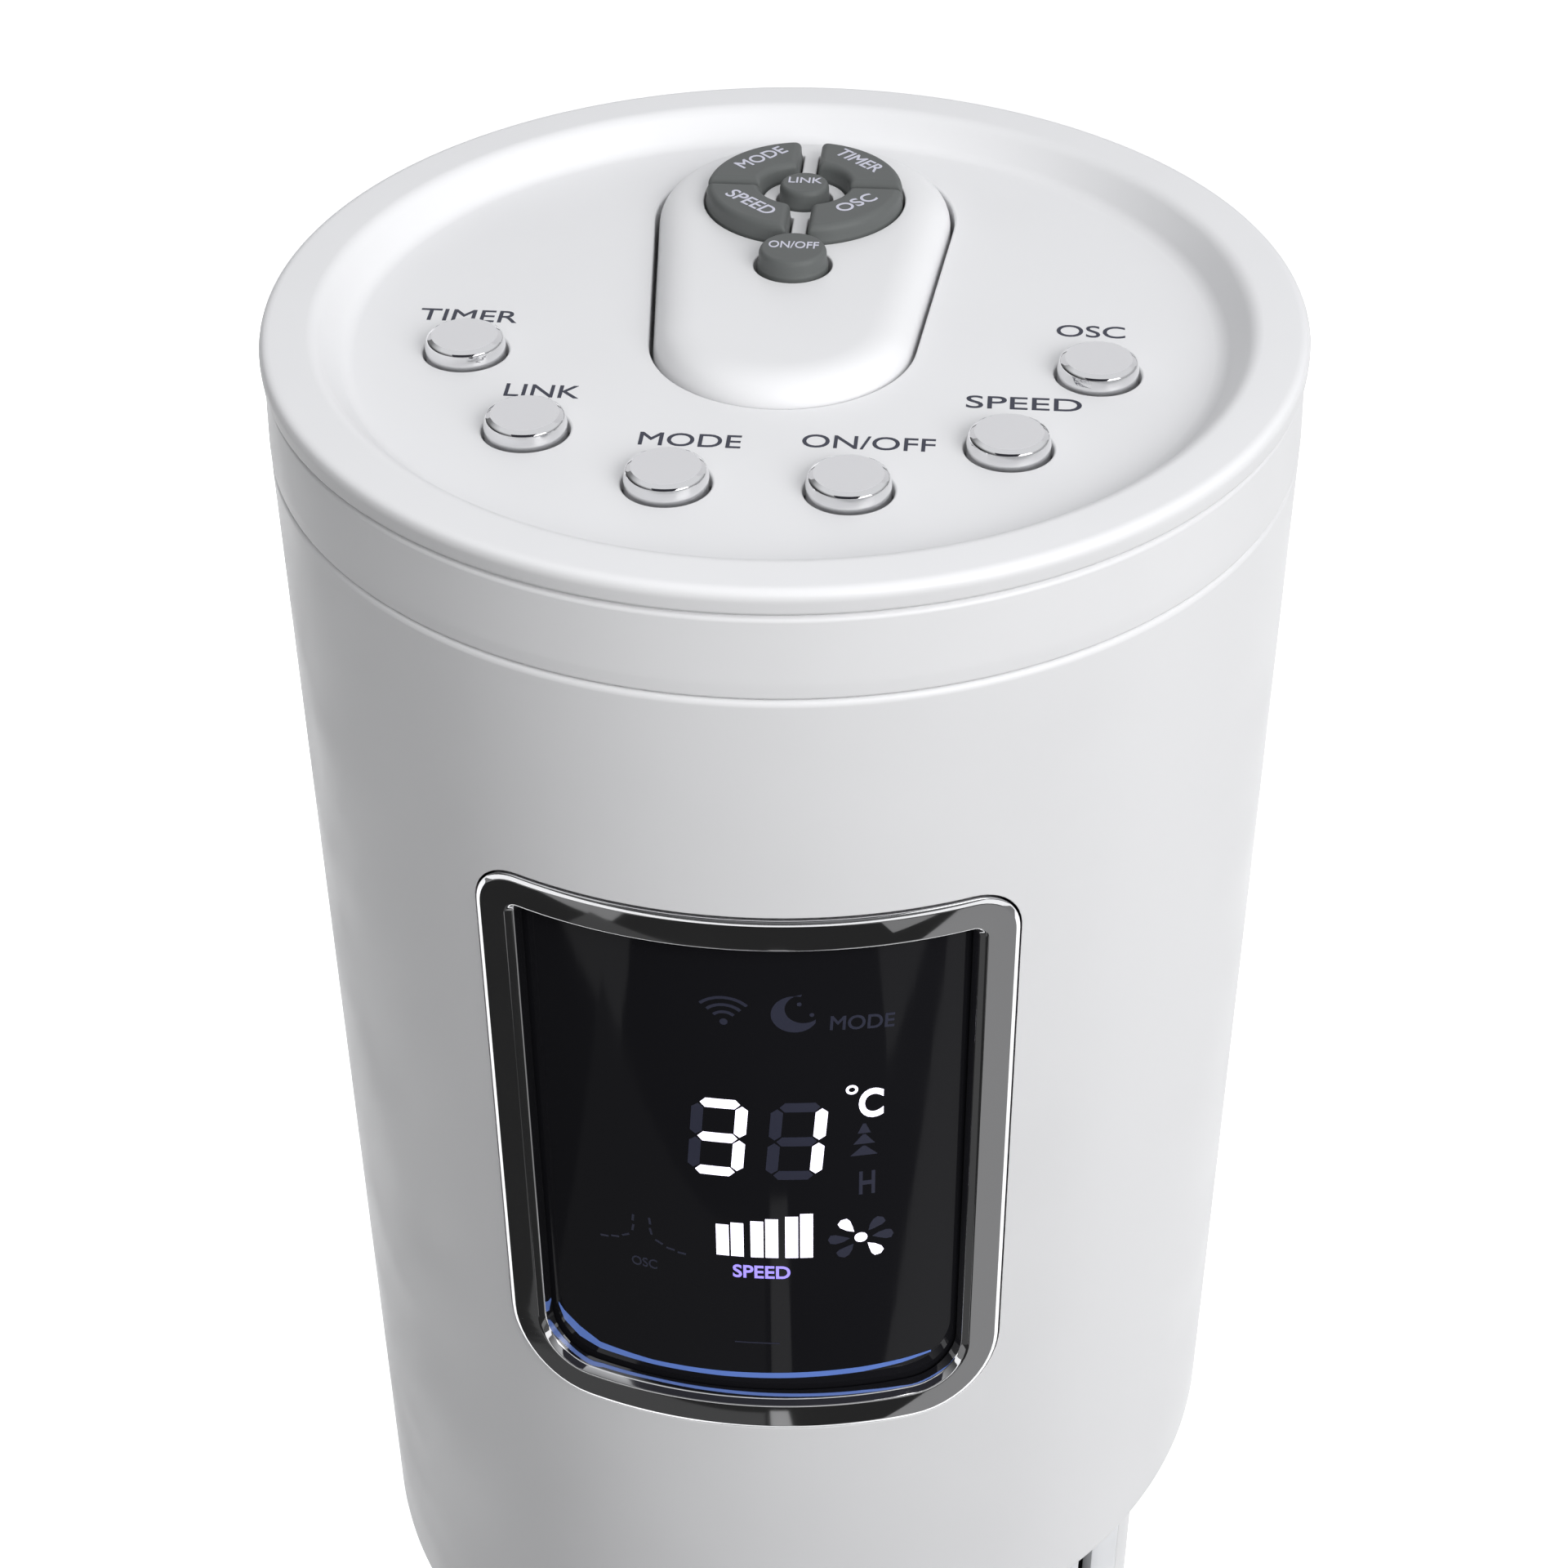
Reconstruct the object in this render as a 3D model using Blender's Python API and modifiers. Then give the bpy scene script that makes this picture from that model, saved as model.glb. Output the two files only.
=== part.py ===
"""Tower fan: a swivelling round column with a control head, a lift-out remote and a weighted base.

Metres, +Z up. The front faces -Y and the fan stands on z = 0, centred on the swivel axis.
"""

import math

import bmesh
import bpy

MM = 0.001
GAP = 0.3 * MM

# Control head
HEAD_RADIUS = 85 * MM
HEAD_WALL = 2.5 * MM
LIP_TOP = 1000 * MM
SEAM_HEIGHT = 981.4 * MM
HEAD_SPLIT = math.radians(100)
EDGE_RIGHT = 757 * MM
EDGE_LEFT = 724 * MM
EDGE_SWEEP = (-72 * MM, 40 * MM)
EDGE_ROUND = 5 * MM

# Control deck
DECK_TOP = 994.6 * MM
DECK_RADIUS = 71 * MM
DECK_WALL = 2.4 * MM
LIP_INNER = 77 * MM
LIP_RADIUS = 85.0 * MM
NECK_RADIUS = 83.3 * MM

# Buttons, mirrored about the middle: angle from the front, radius from the axis
BUTTON_PLACES = ((16.1, 49.9 * MM), (47.9, 50.6 * MM), (79.1, 52.1 * MM))
BUTTON_NAMES = (("on_off", "mode"), ("speed", "link"), ("osc", "timer"))
BUTTON_HOLE = 7.0 * MM
BUTTON_RADIUS = 6.55 * MM
BUTTON_STANDS = 2.9 * MM
BUTTON_FLANGE = 8.2 * MM
SWITCH_TOP = 983.9 * MM

# Display window, measured round the curve of the head
WINDOW_HALF = 45.2 * MM
WINDOW_TOP = 940.4 * MM
WINDOW_FOOT = 823.5 * MM
WINDOW_CORNER_TOP = 8.5 * MM
WINDOW_CORNER_FOOT = 16 * MM
BEZEL_BAND = 7.2 * MM
BEZEL_STANDS = 0.5 * MM
LENS_RADIUS = 81.8 * MM
LENS_WALL = 1.8 * MM

# Remote and its nest: a tapered round-ended outline, front and back
NEST_FRONT_Y = -2.9 * MM
NEST_FRONT_RADIUS = 21.9 * MM
NEST_BACK_Y = 41.3 * MM
NEST_BACK_RADIUS = 26.2 * MM
NEST_FLOOR = 985.2 * MM
NEST_WALL = 2 * MM
REMOTE_PLAY = 0.7 * MM
REMOTE_FOOT = 985.5 * MM
REMOTE_SPLIT = 989.7 * MM
REMOTE_TOP = 998.6 * MM
KEY_TOP = 1001.8 * MM
KEY_FOOT = 992.6 * MM
KEY_RING_Y = 40.6 * MM
KEY_RING_OUTER = 17.2 * MM
KEY_RING_INNER = 7.6 * MM
KEY_CENTRE_RADIUS = 4.5 * MM
KEY_POWER_Y = 16.2 * MM
KEY_POWER_RADIUS = 6.0 * MM
CELL_Y = -1 * MM
CELL_RADIUS = 10 * MM
DOOR_RADIUS = 12 * MM

# Column
COLUMN_RADIUS = 75 * MM
COLUMN_WALL = 2.2 * MM
COLUMN_FOOT = 124.4 * MM
COLUMN_TOP = 772.6 * MM
COLUMN_SPLIT = math.radians(72)
SLOT_WIDTH = 5.2 * MM
SLOT_ROWS = 3
SLOT_COLUMNS = 14
SLOT_FOOT = 134 * MM
SLOT_TOP = 748 * MM
SLOT_RIB = 8 * MM

# Blower
IMPELLER_RADIUS = 45 * MM
IMPELLER_INNER = 36 * MM
IMPELLER_FOOT = 130 * MM
IMPELLER_TOP = 756 * MM
IMPELLER_DISC = 2.4 * MM
BLADES = 14
BLADE_WALL = 1.3 * MM
MOTOR_RADIUS = 34 * MM
MOTOR_FOOT = 58 * MM
MOTOR_TOP = 119 * MM
SHAFT_RADIUS = 4 * MM

# Base
BASE_RADIUS = 150 * MM
BASE_NECK = 60 * MM
BASE_RIM = 4 * MM
BASE_DOME = 40 * MM
BASE_WALL = 2.4 * MM
PLATE_RADIUS = 146.4 * MM
PLATE_FOOT = 3 * MM
PLATE_TOP = 5.5 * MM
GLAND_HEIGHT = 11.8 * MM
FOOT_RING = 122 * MM
FOOT_RADIUS = 9 * MM
POST_OUTER = 11 * MM
POST_INNER = 8 * MM
TURNTABLE_RADIUS = 57 * MM
SHROUD_FOOT = 45.6 * MM
SHROUD_TOP = 124 * MM

# Oscillation gears
GEAR_MODULE = 2 * MM
RING_TEETH = 42
PINION_TEETH = 9
GEAR_BACKLASH = 0.3 * MM


def clear_scene():
    for thing in list(bpy.data.objects):
        bpy.data.objects.remove(thing, do_unlink=True)


def collection(name, hidden=False):
    made = bpy.data.collections.new(name)
    bpy.context.scene.collection.children.link(made)
    made.hide_render = hidden
    return made


clear_scene()
PARTS = collection("tower_fan")
CUTTERS = collection("cutters", hidden=True)


def material(name, colour, roughness, metallic=0.0, coat=0.0):
    made = bpy.data.materials.new(name)
    made.use_nodes = True
    shader = made.node_tree.nodes["Principled BSDF"]
    shader.inputs["Base Color"].default_value = (*colour, 1)
    shader.inputs["Roughness"].default_value = roughness
    shader.inputs["Metallic"].default_value = metallic
    shader.inputs["Coat Weight"].default_value = coat
    made.diffuse_color = (*colour, 1)
    return made


WHITE = (0.86, 0.86, 0.87)
GREY = (0.42, 0.43, 0.44)
DARK = (0.05, 0.05, 0.055)
STEEL = (0.62, 0.62, 0.63)
BOARD = (0.03, 0.16, 0.08)
KEY_GREY = (0.13, 0.14, 0.14)


def place(name, mesh_maker, paint, centre=(0, 0, 0), smooth=True, cutter=False):
    """Links the mesh that the maker fills in, with its origin at the centre."""
    bm = bmesh.new()
    mesh_maker(bm)
    bmesh.ops.recalc_face_normals(bm, faces=bm.faces)
    for face in bm.faces:
        face.smooth = smooth
    mesh = bpy.data.meshes.new(name)
    bm.to_mesh(mesh)
    bm.free()
    thing = bpy.data.objects.new(name, mesh)
    thing.location = centre
    if cutter:
        CUTTERS.objects.link(thing)
        thing.hide_render = True
        thing.display_type = "WIRE"
    else:
        PARTS.objects.link(thing)
        mesh.materials.append(paint)
    return thing


def turned(name, profile, paint, centre=(0, 0, 0), steps=48, cutter=False):
    """A turned piece. The profile holds (radius, height) pairs and runs down its outer side."""
    ring = profile[0][0] > 0
    count = len(profile)
    edges = [(i, i + 1) for i in range(count - 1)]
    if ring:
        edges.append((count - 1, 0))
    mesh = bpy.data.meshes.new(name)
    mesh.from_pydata([(r, 0, z) for r, z in profile], edges, [])
    thing = bpy.data.objects.new(name, mesh)
    thing.location = centre
    turn = thing.modifiers.new("Turn", "SCREW")
    turn.steps = steps
    turn.render_steps = steps
    turn.use_smooth_shade = True
    turn.use_merge_vertices = True
    turn.merge_threshold = 0.00001
    if cutter:
        CUTTERS.objects.link(thing)
        thing.hide_render = True
        thing.display_type = "WIRE"
    else:
        PARTS.objects.link(thing)
        mesh.materials.append(paint)
    return thing


def combine(thing, other, operation):
    step = thing.modifiers.new(other.name, "BOOLEAN")
    step.operation = operation
    step.solver = "EXACT"
    step.object = other
    return thing


def cut(thing, other):
    return combine(thing, other, "DIFFERENCE")


def join(thing, other):
    return combine(thing, other, "UNION")


def prism(bm, outline, low, high):
    """Adds an upright prism on an outline of (x, y) points."""
    floor = [bm.verts.new((x, y, low)) for x, y in outline]
    roof = [bm.verts.new((x, y, high)) for x, y in outline]
    bm.faces.new(list(reversed(floor)))
    bm.faces.new(roof)
    for i, corner in enumerate(floor):
        after = (i + 1) % len(floor)
        bm.faces.new((corner, floor[after], roof[after], roof[i]))


def skin(bm, rings, closed):
    """Adds a closed skin through rings of points; an open row of rings gets a cap at each end."""
    rows = [[bm.verts.new(point) for point in ring] for ring in rings]
    spans = list(zip(rows, rows[1:]))
    if closed:
        spans.append((rows[-1], rows[0]))
    else:
        bm.faces.new(list(reversed(rows[0])))
        bm.faces.new(rows[-1])
    for before, after in spans:
        for i in range(len(before)):
            k = (i + 1) % len(before)
            bm.faces.new((before[i], before[k], after[k], after[i]))


def circle(radius, centre=(0, 0), steps=24, start=0.0, end=math.tau):
    """Points round a circle; a full turn leaves out the repeated last point."""
    count = steps if abs(end - start - math.tau) < 1e-6 else steps + 1
    return [
        (
            centre[0] + radius * math.cos(start + (end - start) * i / steps),
            centre[1] + radius * math.sin(start + (end - start) * i / steps),
        )
        for i in range(count)
    ]


def around(radius, azimuth):
    """The (x, y) point at an angle measured from the front towards +X."""
    return radius * math.sin(azimuth), -radius * math.cos(azimuth)


def sector(inner, outer, start, end, steps):
    """The outline of a curved strip between two radii."""
    turns = [start + (end - start) * i / steps for i in range(steps + 1)]
    return [around(outer, a) for a in turns] + [around(inner, a) for a in reversed(turns)]


def rod(name, radius, low, high, paint, centre=(0, 0), steps=12, chamfer=0.3 * MM):
    profile = [
        (0, high),
        (radius - chamfer, high),
        (radius, high - chamfer),
        (radius, low + chamfer),
        (radius - chamfer, low),
        (0, low),
    ]
    return turned(name, profile, paint, (*centre, 0), steps)


def washer(name, inner, outer, low, high, paint, steps=32, centre=(0, 0)):
    profile = [(outer, high), (outer, low), (inner, low), (inner, high)]
    return turned(name, profile, paint, (*centre, 0), steps)


def hole(name, radius, low, high, centre=(0, 0), steps=16):
    profile = [(0, high), (radius, high), (radius, low), (0, low)]
    return turned(name, profile, None, (*centre, 0), steps, cutter=True)


def slab(name, size, centre, paint, cutter=False):
    def fill(bm):
        bmesh.ops.create_cube(bm, size=1)
        bmesh.ops.scale(bm, vec=size, verts=bm.verts)

    return place(name, fill, paint, centre, smooth=False, cutter=cutter)


# ---------------------------------------------------------------- base


def dome_line(drop, count=6):
    """The elliptical dome of the base, from its neck out to its rim, set in by the wall."""
    line = []
    for i in range(count + 1):
        a = math.radians(90) * i / count
        radius = BASE_NECK + (BASE_RADIUS - BASE_NECK - drop) * math.sin(a)
        line.append((radius, BASE_RIM + (BASE_DOME - drop) * math.cos(a)))
    return line


def base_cover():
    outside = [(BASE_NECK - 2 * MM, BASE_RIM + BASE_DOME)] + dome_line(0)
    outside.append((BASE_RADIUS, PLATE_FOOT - 1 * MM))
    inside = [(BASE_RADIUS - BASE_WALL, PLATE_FOOT - 1 * MM)]
    inside += list(reversed(dome_line(BASE_WALL)))
    inside.append((BASE_NECK - 2 * MM, BASE_RIM + BASE_DOME - BASE_WALL))
    cover = turned("base_cover", outside + inside, material("base_white", WHITE, 0.3), steps=40)
    mouth = turned(
        "cord_hole",
        [(0, 12 * MM), (4.6 * MM, 12 * MM), (4.6 * MM, -12 * MM), (0, -12 * MM)],
        None,
        (0, BASE_RADIUS - 2 * MM, GLAND_HEIGHT),
        14,
        cutter=True,
    )
    mouth.rotation_euler[0] = math.radians(-90)
    cut(cover, mouth)


def cord_gland():
    """The rubber bush through which the supply cord would leave the base."""
    profile = [
        (4.2 * MM, 1.4 * MM),
        (4.2 * MM, -8.5 * MM),
        (5.7 * MM, -8.5 * MM),
        (5.7 * MM, -10.5 * MM),
        (3 * MM, -10.5 * MM),
        (3 * MM, 1.4 * MM),
    ]
    centre = (0, BASE_RADIUS - 2 * MM, GLAND_HEIGHT)
    gland = turned("cord_gland", profile, material("gland_rubber", DARK, 0.7), centre, 14)
    gland.rotation_euler[0] = math.radians(-90)


def base_bottom_plate():
    """The floor of the base, with the hollow post that the tower turns on."""
    profile = [
        (PLATE_RADIUS, PLATE_TOP),
        (PLATE_RADIUS, PLATE_FOOT),
        (POST_INNER, PLATE_FOOT),
        (POST_INNER, 41 * MM),
        (POST_OUTER, 41 * MM),
        (POST_OUTER, PLATE_TOP),
    ]
    turned("base_bottom_plate", profile, material("bottom_plate_grey", GREY, 0.45), steps=36)


def rubber_feet():
    for i in range(4):
        x, y = around(FOOT_RING, math.radians(45 + 90 * i))
        profile = [
            (0, PLATE_FOOT - GAP),
            (FOOT_RADIUS, PLATE_FOOT - GAP),
            (FOOT_RADIUS - 1 * MM, 0),
            (0, 0),
        ]
        turned(f"rubber_foot_{i + 1}", profile, material(f"foot_rubber_{i + 1}", DARK, 0.8), (x, y, 0), 16)


def ballast_ring():
    washer(
        "ballast_ring",
        56 * MM,
        130 * MM,
        PLATE_TOP + GAP,
        PLATE_TOP + 6.3 * MM,
        material("ballast_steel", STEEL, 0.5, 1),
        28,
    )


def tooth_ring(teeth, tip, root, tip_half, root_half, shift):
    """A toothed outline: each tooth is a flat tip between two sloping sides."""
    outline = []
    for i in range(teeth):
        middle = math.tau * (i + shift) / teeth
        for radius, turn in ((root, -root_half), (tip, -tip_half), (tip, tip_half), (root, root_half)):
            outline.append((radius * math.cos(middle + turn), radius * math.sin(middle + turn)))
    return outline


def gear_halves(teeth, radius_shift_tip, radius_shift_root, sign):
    """Tip and root radii and half-widths for a straight-sided tooth of the shared module."""
    pitch = GEAR_MODULE * teeth / 2
    half = (math.pi * GEAR_MODULE / 2 - GEAR_BACKLASH) / 2
    tip = pitch + sign * radius_shift_tip
    root = pitch - sign * radius_shift_root
    return tip, root, 0.5 * half / tip, 1.5 * half / root


def oscillation_gears():
    """A fixed inner-toothed ring in the base and the pinion that walks round it."""
    tip, root, tip_half, root_half = gear_halves(RING_TEETH, 1.6 * MM, 2.2 * MM, -1)
    teeth = tooth_ring(RING_TEETH, tip, root, tip_half, root_half, 0.5)
    low = PLATE_TOP + GAP
    high = PLATE_TOP + 8 * MM
    ring = washer(
        "swivel_ring_gear",
        20 * MM,
        50 * MM,
        low,
        high,
        material("ring_gear_nylon", WHITE, 0.5),
        24,
    )
    bore = place("ring_gear_bore", lambda bm: prism(bm, teeth, low - MM, high + MM), None, cutter=True)
    cut(ring, bore)
    tip, root, tip_half, root_half = gear_halves(PINION_TEETH, 1.6 * MM, 2.2 * MM, 1)
    teeth = tooth_ring(PINION_TEETH, tip, root, tip_half, root_half, 0)
    place(
        "oscillation_pinion",
        lambda bm: prism(bm, teeth, low + MM, high - 0.5 * MM),
        material("pinion_nylon", (0.75, 0.74, 0.7), 0.5),
        (PINION_REACH, 0, 0),
        smooth=False,
    )


PINION_REACH = GEAR_MODULE * (RING_TEETH - PINION_TEETH) / 2


def oscillation_motor():
    """The flat geared stepper that hangs under the turntable and drives the pinion."""
    profile = [
        (0, 37.6 * MM),
        (14 * MM, 37.6 * MM),
        (14 * MM, 18.5 * MM),
        (4.5 * MM, 18.5 * MM),
        (4.5 * MM, PLATE_TOP + 8 * MM),
        (0, PLATE_TOP + 8 * MM),
    ]
    turned(
        "oscillation_motor",
        profile,
        material("stepper_steel", STEEL, 0.35, 1),
        (PINION_REACH, 0, 0),
        18,
    )


def swivel():
    washer(
        "swivel_washer",
        POST_OUTER + GAP,
        18 * MM,
        PLATE_TOP + GAP,
        21.7 * MM,
        material("washer_nylon", (0.8, 0.8, 0.76), 0.5),
        18,
    )
    washer(
        "swivel_retainer",
        POST_INNER,
        26 * MM,
        41 * MM + GAP,
        43.6 * MM,
        material("retainer_steel", STEEL, 0.4, 1),
        20,
    )
    sleeve = POST_OUTER + GAP
    profile = [
        (72.2 * MM, 49 * MM),
        (72.2 * MM, SHROUD_FOOT),
        (TURNTABLE_RADIUS, SHROUD_FOOT),
        (TURNTABLE_RADIUS, 38 * MM),
        (15 * MM, 38 * MM),
        (15 * MM, 22 * MM),
        (sleeve, 22 * MM),
        (sleeve, 41 * MM),
        (54 * MM, 41 * MM),
        (54 * MM, 49 * MM),
    ]
    turned("turntable", profile, material("turntable_grey", GREY, 0.45), steps=32)


# ---------------------------------------------------------------- column


def lower_shroud():
    inner = COLUMN_RADIUS - COLUMN_WALL
    profile = [
        (COLUMN_RADIUS - 1 * MM, SHROUD_TOP),
        (COLUMN_RADIUS, SHROUD_TOP - 1 * MM),
        (COLUMN_RADIUS, SHROUD_FOOT + 1 * MM),
        (COLUMN_RADIUS - 1 * MM, SHROUD_FOOT),
        (inner, SHROUD_FOOT),
        (inner, SHROUD_TOP),
    ]
    turned("lower_shroud", profile, material("shroud_white", WHITE, 0.3), steps=40)


def slots(name, azimuths):
    """Upright slots through the column wall, in rows with a rib between them."""
    step = (SLOT_TOP - SLOT_FOOT + SLOT_RIB) / SLOT_ROWS

    def fill(bm):
        for azimuth in azimuths:
            for row in range(SLOT_ROWS):
                low = SLOT_FOOT + step * row
                along = (math.cos(azimuth), math.sin(azimuth))
                outline = []
                for reach, side in ((-7, -1), (-7, 1), (7, 1), (7, -1)):
                    x, y = around(COLUMN_RADIUS + reach * MM, azimuth)
                    half = side * SLOT_WIDTH / 2
                    outline.append((x + along[0] * half, y + along[1] * half))
                prism(bm, outline, low, low + step - SLOT_RIB)

    return place(name, fill, None, cutter=True)


def column_shell(name, start, end, steps, spread, paint):
    outline = sector(COLUMN_RADIUS - COLUMN_WALL, COLUMN_RADIUS, start, end, steps)
    shell = place(name, lambda bm: prism(bm, outline, COLUMN_FOOT, COLUMN_TOP), paint)
    middle = (start + end) / 2
    azimuths = [middle + spread * ((i + 0.5) / SLOT_COLUMNS - 0.5) for i in range(SLOT_COLUMNS)]
    return cut(shell, slots(name + "_slots", azimuths))


def column():
    seam = GAP / 2 / COLUMN_RADIUS
    column_shell(
        "front_grille",
        -COLUMN_SPLIT + seam,
        COLUMN_SPLIT - seam,
        18,
        math.radians(126),
        material("grille_silver", (0.66, 0.67, 0.69), 0.35),
    )
    column_shell(
        "rear_housing",
        COLUMN_SPLIT + seam,
        math.tau - COLUMN_SPLIT - seam,
        26,
        math.radians(168),
        material("housing_white", WHITE, 0.32),
    )


def wall_strip(points, thick):
    """The outline of a thin wall that follows a line of (x, y) points."""
    left = []
    right = []
    for i, (x, y) in enumerate(points):
        x0, y0 = points[max(i - 1, 0)]
        x1, y1 = points[min(i + 1, len(points) - 1)]
        length = math.hypot(x1 - x0, y1 - y0)
        nx = -(y1 - y0) / length * thick / 2
        ny = (x1 - x0) / length * thick / 2
        left.append((x + nx, y + ny))
        right.append((x - nx, y - ny))
    return left + list(reversed(right))


def air_path():
    """The scroll wall that opens towards the outlet, and the tongue across from it."""
    low = 124.6 * MM
    high = 765 * MM
    scroll = []
    for i in range(13):
        part = i / 12
        azimuth = math.radians(-165 + 105 * part)
        scroll.append(around((49 + 20.5 * part**1.3) * MM, azimuth))
    place(
        "scroll_wall",
        lambda bm: prism(bm, wall_strip(scroll, 1.8 * MM), low, high),
        material("scroll_black", DARK, 0.5),
    )
    tongue = [
        around(70.5 * MM, math.radians(64)),
        around(60 * MM, math.radians(68)),
        around(51 * MM, math.radians(76)),
        around(49 * MM, math.radians(84)),
        around(55 * MM, math.radians(92)),
        around(70.5 * MM, math.radians(98)),
    ]
    place(
        "air_tongue",
        lambda bm: prism(bm, wall_strip(tongue, 1.8 * MM), low, high),
        material("tongue_black", DARK, 0.5),
    )


def impeller():
    """A cross-flow rotor: forward-curved blades between discs."""
    low = IMPELLER_FOOT
    high = IMPELLER_TOP

    def blades(bm):
        for i in range(BLADES):
            start = math.tau * i / BLADES
            line = []
            for radius, lean in ((IMPELLER_INNER, 0), (0.9 * IMPELLER_RADIUS, 5), (IMPELLER_RADIUS, 13)):
                line.append(around(radius, start + math.radians(lean)))
            prism(bm, wall_strip(line, BLADE_WALL), low + MM, high - MM)

    rotor = place("impeller", blades, material("impeller_black", (0.07, 0.07, 0.075), 0.45))

    def discs(bm):
        levels = [low, (low + high) / 2, high - IMPELLER_DISC]
        for level, bore in zip(levels, (9.3 * MM, 30 * MM, 3.3 * MM)):
            rings = []
            outer = IMPELLER_RADIUS + 0.8 * MM
            for i in range(28):
                c = math.cos(math.tau * i / 28)
                s = math.sin(math.tau * i / 28)
                rings.append(
                    [
                        (outer * c, outer * s, level + IMPELLER_DISC),
                        (outer * c, outer * s, level),
                        (bore * c, bore * s, level),
                        (bore * c, bore * s, level + IMPELLER_DISC),
                    ]
                )
            skin(bm, rings, closed=True)

    join(rotor, place("impeller_discs", discs, None, cutter=True))
    washer(
        "impeller_coupling",
        SHAFT_RADIUS + GAP,
        9 * MM,
        126.5 * MM,
        142 * MM,
        material("coupling_rubber", DARK, 0.7),
        16,
    )
    rod("impeller_top_pin", 3 * MM, 752 * MM, 771 * MM, material("pin_steel", STEEL, 0.25, 1))
    rod("motor_shaft", SHAFT_RADIUS, MOTOR_TOP + GAP, 141 * MM, material("shaft_steel", STEEL, 0.25, 1))


def fan_motor():
    profile = [
        (0, MOTOR_TOP),
        (12 * MM, MOTOR_TOP),
        (12 * MM, MOTOR_TOP - 4 * MM),
        (MOTOR_RADIUS - 3 * MM, MOTOR_TOP - 4 * MM),
        (MOTOR_RADIUS, MOTOR_TOP - 7 * MM),
        (MOTOR_RADIUS, MOTOR_FOOT + 3 * MM),
        (MOTOR_RADIUS - 3 * MM, MOTOR_FOOT),
        (0, MOTOR_FOOT),
    ]
    turned("fan_motor", profile, material("motor_steel", STEEL, 0.4, 1), steps=20)
    inner = COLUMN_RADIUS - COLUMN_WALL - 0.6 * MM
    washer(
        "motor_mount_plate",
        12.5 * MM,
        inner,
        116 * MM,
        118.6 * MM,
        material("mount_plate_steel", STEEL, 0.45, 1),
        28,
    )


def column_top():
    inner = COLUMN_RADIUS - COLUMN_WALL - 0.6 * MM
    washer(
        "column_top_plate",
        8 * MM,
        inner,
        765.4 * MM,
        768.4 * MM,
        material("top_plate_grey", GREY, 0.45),
        28,
    )
    washer(
        "top_bearing",
        3.3 * MM,
        7.7 * MM,
        763 * MM,
        771 * MM,
        material("bearing_bronze", (0.55, 0.4, 0.22), 0.35, 1),
        14,
    )


# ---------------------------------------------------------------- head


def head_edge(x):
    """Height of the lower edge of the head: level on the right, then sweeping down to the left."""
    part = (x - EDGE_SWEEP[0]) / (EDGE_SWEEP[1] - EDGE_SWEEP[0])
    part = min(max(part, 0), 1)
    part = part * part * (3 - 2 * part)
    return EDGE_LEFT + (EDGE_RIGHT - EDGE_LEFT) * part


def head_section(azimuth):
    """The wall of the head at one angle: rounded top edge, straight side and a rolled-in lower edge."""
    outer = HEAD_RADIUS
    inner = HEAD_RADIUS - HEAD_WALL
    top = SEAM_HEIGHT - GAP
    low = head_edge(outer * math.sin(azimuth))
    line = [
        (inner, top),
        (outer - 1.4 * MM, top),
        (outer - 0.4 * MM, top - 0.5 * MM),
        (outer, top - 1.6 * MM),
    ]
    for degrees in (0, 22.5, 45, 67.5, 90):
        a = math.radians(degrees)
        line.append((outer - EDGE_ROUND * (1 - math.cos(a)), low + EDGE_ROUND * (1 - math.sin(a))))
    line.append((outer - 7 * MM, low))
    line.append((outer - 7 * MM, low + HEAD_WALL))
    small = EDGE_ROUND - HEAD_WALL
    for degrees in (90, 45, 0):
        a = math.radians(degrees)
        line.append((inner - small * (1 - math.cos(a)), low + EDGE_ROUND - small * math.sin(a)))
    return [(*around(r, azimuth), z) for r, z in line]


def head_shell(name, start, end, steps, paint):
    rings = [head_section(start + (end - start) * i / steps) for i in range(steps + 1)]
    return place(name, lambda bm: skin(bm, rings, closed=False), paint)


def window_outline(inset, count=6, edge=8):
    """The window outline as (distance round the curve, height) points, set in from its edge."""
    half = WINDOW_HALF - inset
    top = WINDOW_TOP - inset
    foot = WINDOW_FOOT + inset
    high = max(WINDOW_CORNER_TOP - inset, 1.5 * MM)
    low = max(WINDOW_CORNER_FOOT - inset, 1.5 * MM)
    points = []
    corners = (
        (half - high, top - high, high, 0),
        (-half + high, top - high, high, 90),
        (-half + low, foot + low, low, 180),
        (half - low, foot + low, low, 270),
    )
    for k, (s, z, radius, start) in enumerate(corners):
        for i in range(count + 1):
            a = math.radians(start + 90 * i / count)
            points.append((s + radius * math.cos(a), z + radius * math.sin(a)))
        if k in (0, 2):
            after = corners[k + 1]
            for i in range(1, edge):
                points.append((s + (after[0] - s) * i / edge, points[-1][1]))
    return points


def wrapped(s, z, radius):
    """A window point laid on the round head at a radius."""
    return (*around(radius, s / HEAD_RADIUS), z)


def window_cutter(name, inset):
    outline = [(HEAD_RADIUS * math.sin(s / HEAD_RADIUS), z) for s, z in window_outline(inset)]

    def fill(bm):
        rings = [[(x, y, z) for x, z in outline] for y in (-100 * MM, -50 * MM)]
        skin(bm, rings, closed=False)

    return place(name, fill, None, cutter=True)


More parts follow.
